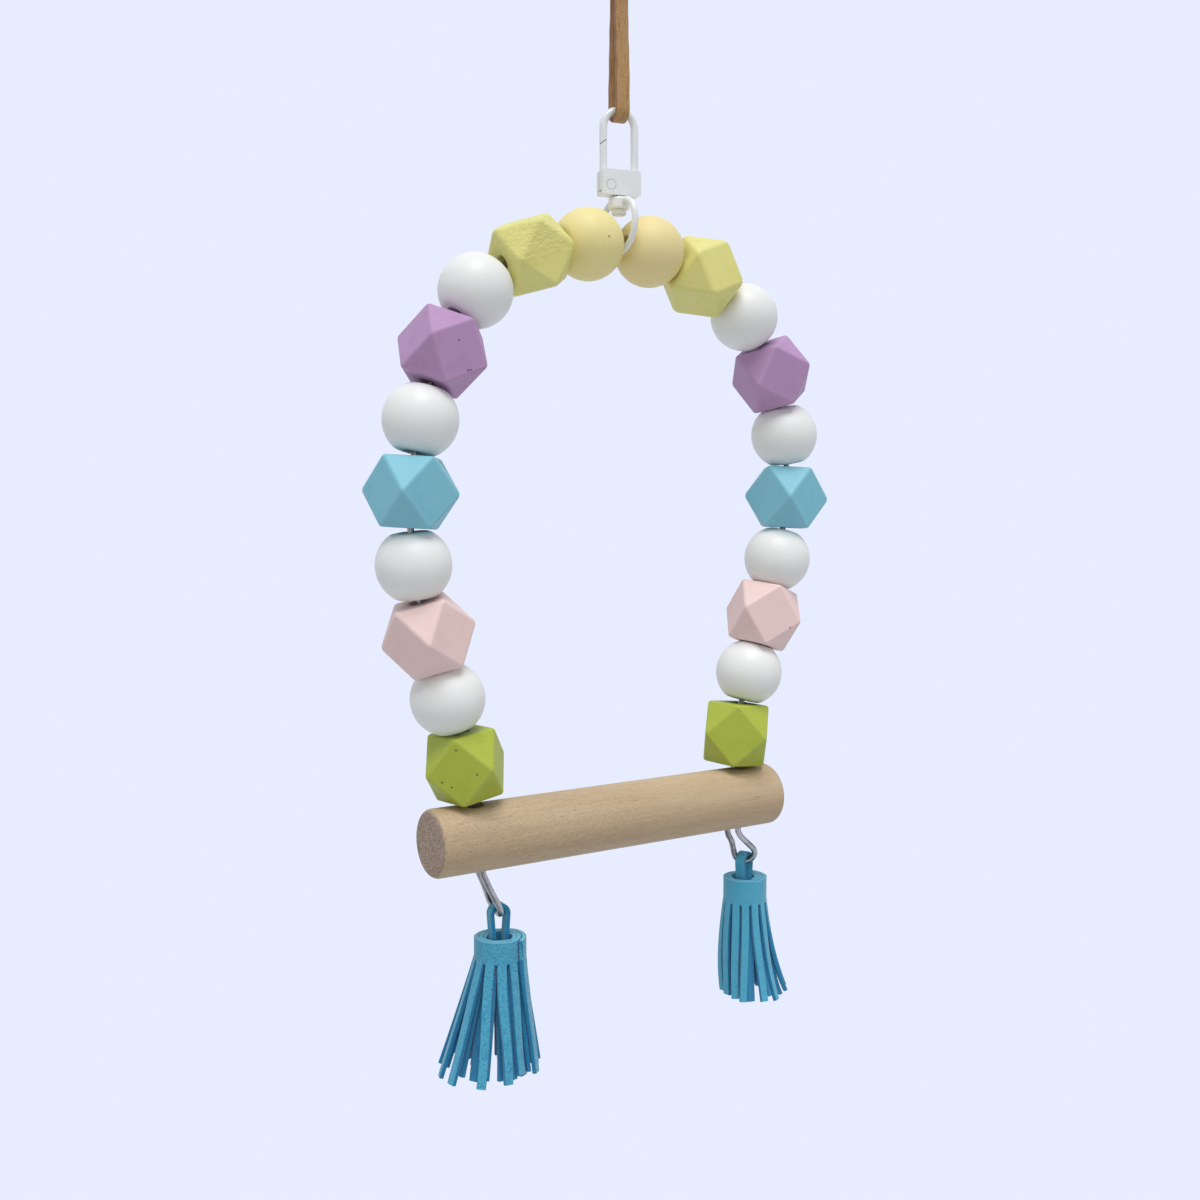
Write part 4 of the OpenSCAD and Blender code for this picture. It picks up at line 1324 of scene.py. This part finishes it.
@dataclass(frozen=True)
class Tassel:
    """A fringed suede strip rolled into a collar, with the strap that hangs it on its eye.

    The collar's top hangs at rise below the eye. The strip's outer end lies at the turn
    wrap_end and is lifted off the roll, and the strip winds inwards from it by way.
    """

    side: Side
    rise: float
    collar: float
    height: float
    roll: float
    tip_radius: float
    kick: Kick
    wrap_end: float
    way: int
    seed: int
    lift: float = 0.0
    strap_twist: float = 0.0
    strand: float = 2.48 * MM
    slit: float = 0.26 * MM
    strand_turn: float = 12.0
    thickness: float = 1.2 * MM
    play: float = 0.03 * MM
    core: float = 1.1 * MM
    sunk_radius: float = 3.75 * MM
    sunk: float = 2.3 * MM
    strap_width: float = 3.2 * MM
    strap_radius: float = 3.0 * MM
    spiral_step: float = 4.0
    lift_fade: float = 30.0
    core_share: float = 0.16
    fan: float = 1.05
    hidden: float = 0.5 * MM
    shaded: float = 1.3 * MM

    def build(self, suede: bpy.types.Material) -> None:
        """Makes the strap, and the roll with its strands, both on the tassel's body."""
        body = f"{self.side.word}_tassel"
        pivot, axis = joint(f"{body}_swing")
        basis = np.stack([axis, np.cross(Z, axis), Z])
        for name, surface, node in (
            (f"{body}_strap_loop", self._strap(), f"{body}_strap"),
            (f"{body}_roll", self._roll(), f"{body}_fringe"),
        ):
            surface.points = pivot + surface.points @ basis
            placed(surface.shown(name, suede, 55), body, "tassel_suede", node)

    def _strap(self) -> Surface:
        """The strap: half a turn over the eye and two legs that close towards the collar."""
        mid = self.strap_radius - self.thickness / 2
        foot = np.array([mid - self.thickness / 2, -self.rise - 2.0 * MM])
        bend = mid * round_section(1.0, 48)[:25]
        leg = bend[0] + np.linspace(0, 1, 12)[1:, None] * (foot - bend[0])
        route = np.concatenate([leg[::-1], bend, leg * [-1, 1]])
        section, cut = strip_section(self.strap_width, self.thickness, 0.3 * MM)
        surface = swept(table(0.0, *route.T), X, section, cut=cut)
        surface.points = rotated(surface.points, 2, self.strap_twist)
        return surface

    def _roll(self) -> Surface:
        """The collar, a strip on a spiral, and one strand for each width along it.

        The spiral's radius falls by one thickness a turn from its outer end, which is lifted
        a little. A strand starts on the spiral and leans out to the fringe's radius.
        """
        rng = np.random.default_rng(self.seed)
        outer = self.roll - self.thickness / 2
        pitch = (self.thickness + self.play) / 360

        def radius_at(turn: Union[float, Array]) -> Union[float, Array]:
            """The spiral's radius after that many degrees from its outer end."""
            return outer - pitch * turn + self.lift * np.exp(-turn / self.lift_fade)

        turn = np.arange(0, (outer - self.core) / pitch, self.spiral_step)
        radius = radius_at(turn)
        top = np.where(radius > self.sunk_radius, 0.0, -self.sunk) - self.rise
        top = np.convolve(np.pad(top, 3, mode="edge"), np.ones(7) / 7, mode="valid")
        top += 0.12 * MM * np.sin(turn / 31) + 0.08 * MM * np.sin(turn / 12 + 1)
        low = -self.rise - self.collar
        middle, half = (top + low) / 2, (top - low) / 2
        path = rotated(table(radius, 0.0, middle), 2, self.wrap_end + self.way * turn)
        section, cut = strip_section(2.0, self.thickness, 0.3 * MM)
        band = table(half[:, None] * section[:, 0], section[:, 1])
        # The collar's top edge takes 2, for the painted highlight on its rim.
        parts = [swept(path, Z, band, cut=cut * 2 * (section[:, 0] > 0))]
        along = travelled(path)
        for at in np.arange(0.5 * self.strand, along[-1], self.strand + self.slit):
            where = float(np.interp(at, along, turn))
            azimuth = self.wrap_end + self.way * where
            parts.append(self._strand(azimuth, float(radius_at(where)), outer, low, rng))
        return joined(parts)

    def _strand(
        self, azimuth: float, start: float, outer: float, low: float, rng: np.random.Generator
    ) -> Surface:
        """One strand, from the collar's foot to its square tip.

        Its radius is start + (tip - start) * share ** fan, plus the fringe's own lean to one
        side, with a little sideways sway. Its section turns slightly about its own length.

        Args:
            azimuth: where it starts round the roll, in degrees.
            start: its first radius.
            outer: the roll's largest radius.
            low: the height of the collar's foot.
            rng: the source of its small unevennesses.

        Returns:
            The strand, painted darker as shade where it starts inside the roll.
        """
        share = np.linspace(0, 1, 22)
        reach = self.core_share + (1 - self.core_share) * start / outer
        tip = self.tip_radius * reach * rng.uniform(0.93, 1.03)
        lean = tip * self.kick.share * math.cos(math.radians(azimuth - self.kick.towards))
        length = (self.height - self.collar) * rng.uniform(0.96, 1.03)
        sway = rng.uniform(-0.9, 0.9) * MM * share**1.6
        sway = sway + rng.uniform(-0.25, 0.25) * MM * np.sin(share * 6)
        radius = start + (tip - start) * share**self.fan + lean * share**self.kick.power
        down = low + self.hidden - share * (length + self.hidden)
        path = rotated(table(radius, sway, down), 2, azimuth)
        twist = azimuth + 90 + (self.strand_turn + rng.uniform(-14, 14)) * share**0.8
        section, cut = strip_section(self.strand, self.thickness, 0.22 * MM, 2, 3)
        width = (1 - 0.05 * share[:, None]) * rng.uniform(0.94, 1.0)
        # A strand that starts deep in the roll takes painted shade.
        inner = start < outer - self.shaded
        return swept(
            path,
            rotated(X, 2, twist),
            table(section[:, 0] * width, section[:, 1]),
            cut=np.full(len(cut), -1.0) if inner else cut,
        )


def main() -> None:
    """Builds and dresses the swing, from its lace down to its tassels."""
    logging.basicConfig(level=logging.INFO, format="%(message)s")
    Studio().build()
    Lace().build()
    Clasp().build()
    wire = ArchWire(mouth_z=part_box("perch")[0][2] / MM)
    wire.build()
    Perch(wire).build()
    BeadRow(Side.LEFT, (4, 4, 10, 19, 52)).build()
    BeadRow(Side.RIGHT, (78, 14, 80, 21, 39)).build()
    # Third colour: the cut sides, darker partly as painted shade, and the painted shade of the
    # inner strands.
    blues = (srgb(84, 176, 208), srgb(14, 116, 162), srgb(10, 120, 172))
    # rim: the painted highlight on the collar's top rim.
    fuzzy = SuedeFinish(
        "tassel_nap_left", *blues, speck=0.6, mottle=0.36, rim=srgb(112, 200, 226)
    ).material()
    smooth = SuedeFinish(
        "tassel_nap_right", *blues, speck=0.1, mottle=0.2, rim=srgb(92, 184, 214)
    ).material()
    Tassel(
        Side.LEFT, rise=6.4 * MM, collar=6.0 * MM, height=37.0 * MM, roll=7.5 * MM,
        tip_radius=14.9 * MM, kick=Kick(62.0, 0.28, 1.0), wrap_end=212.0, way=1, seed=11,
        lift=0.5 * MM, strand=2.8 * MM,
    ).build(fuzzy)
    Tassel(
        Side.RIGHT, rise=4.8 * MM, collar=7.4 * MM, height=35.6 * MM, roll=7.2 * MM,
        tip_radius=10.6 * MM, kick=Kick(357.0, 0.34, 2.4), wrap_end=72.0, way=-1, seed=12,
        strap_twist=-32.0,
    ).build(smooth)


if __name__ == "__main__":
    main()
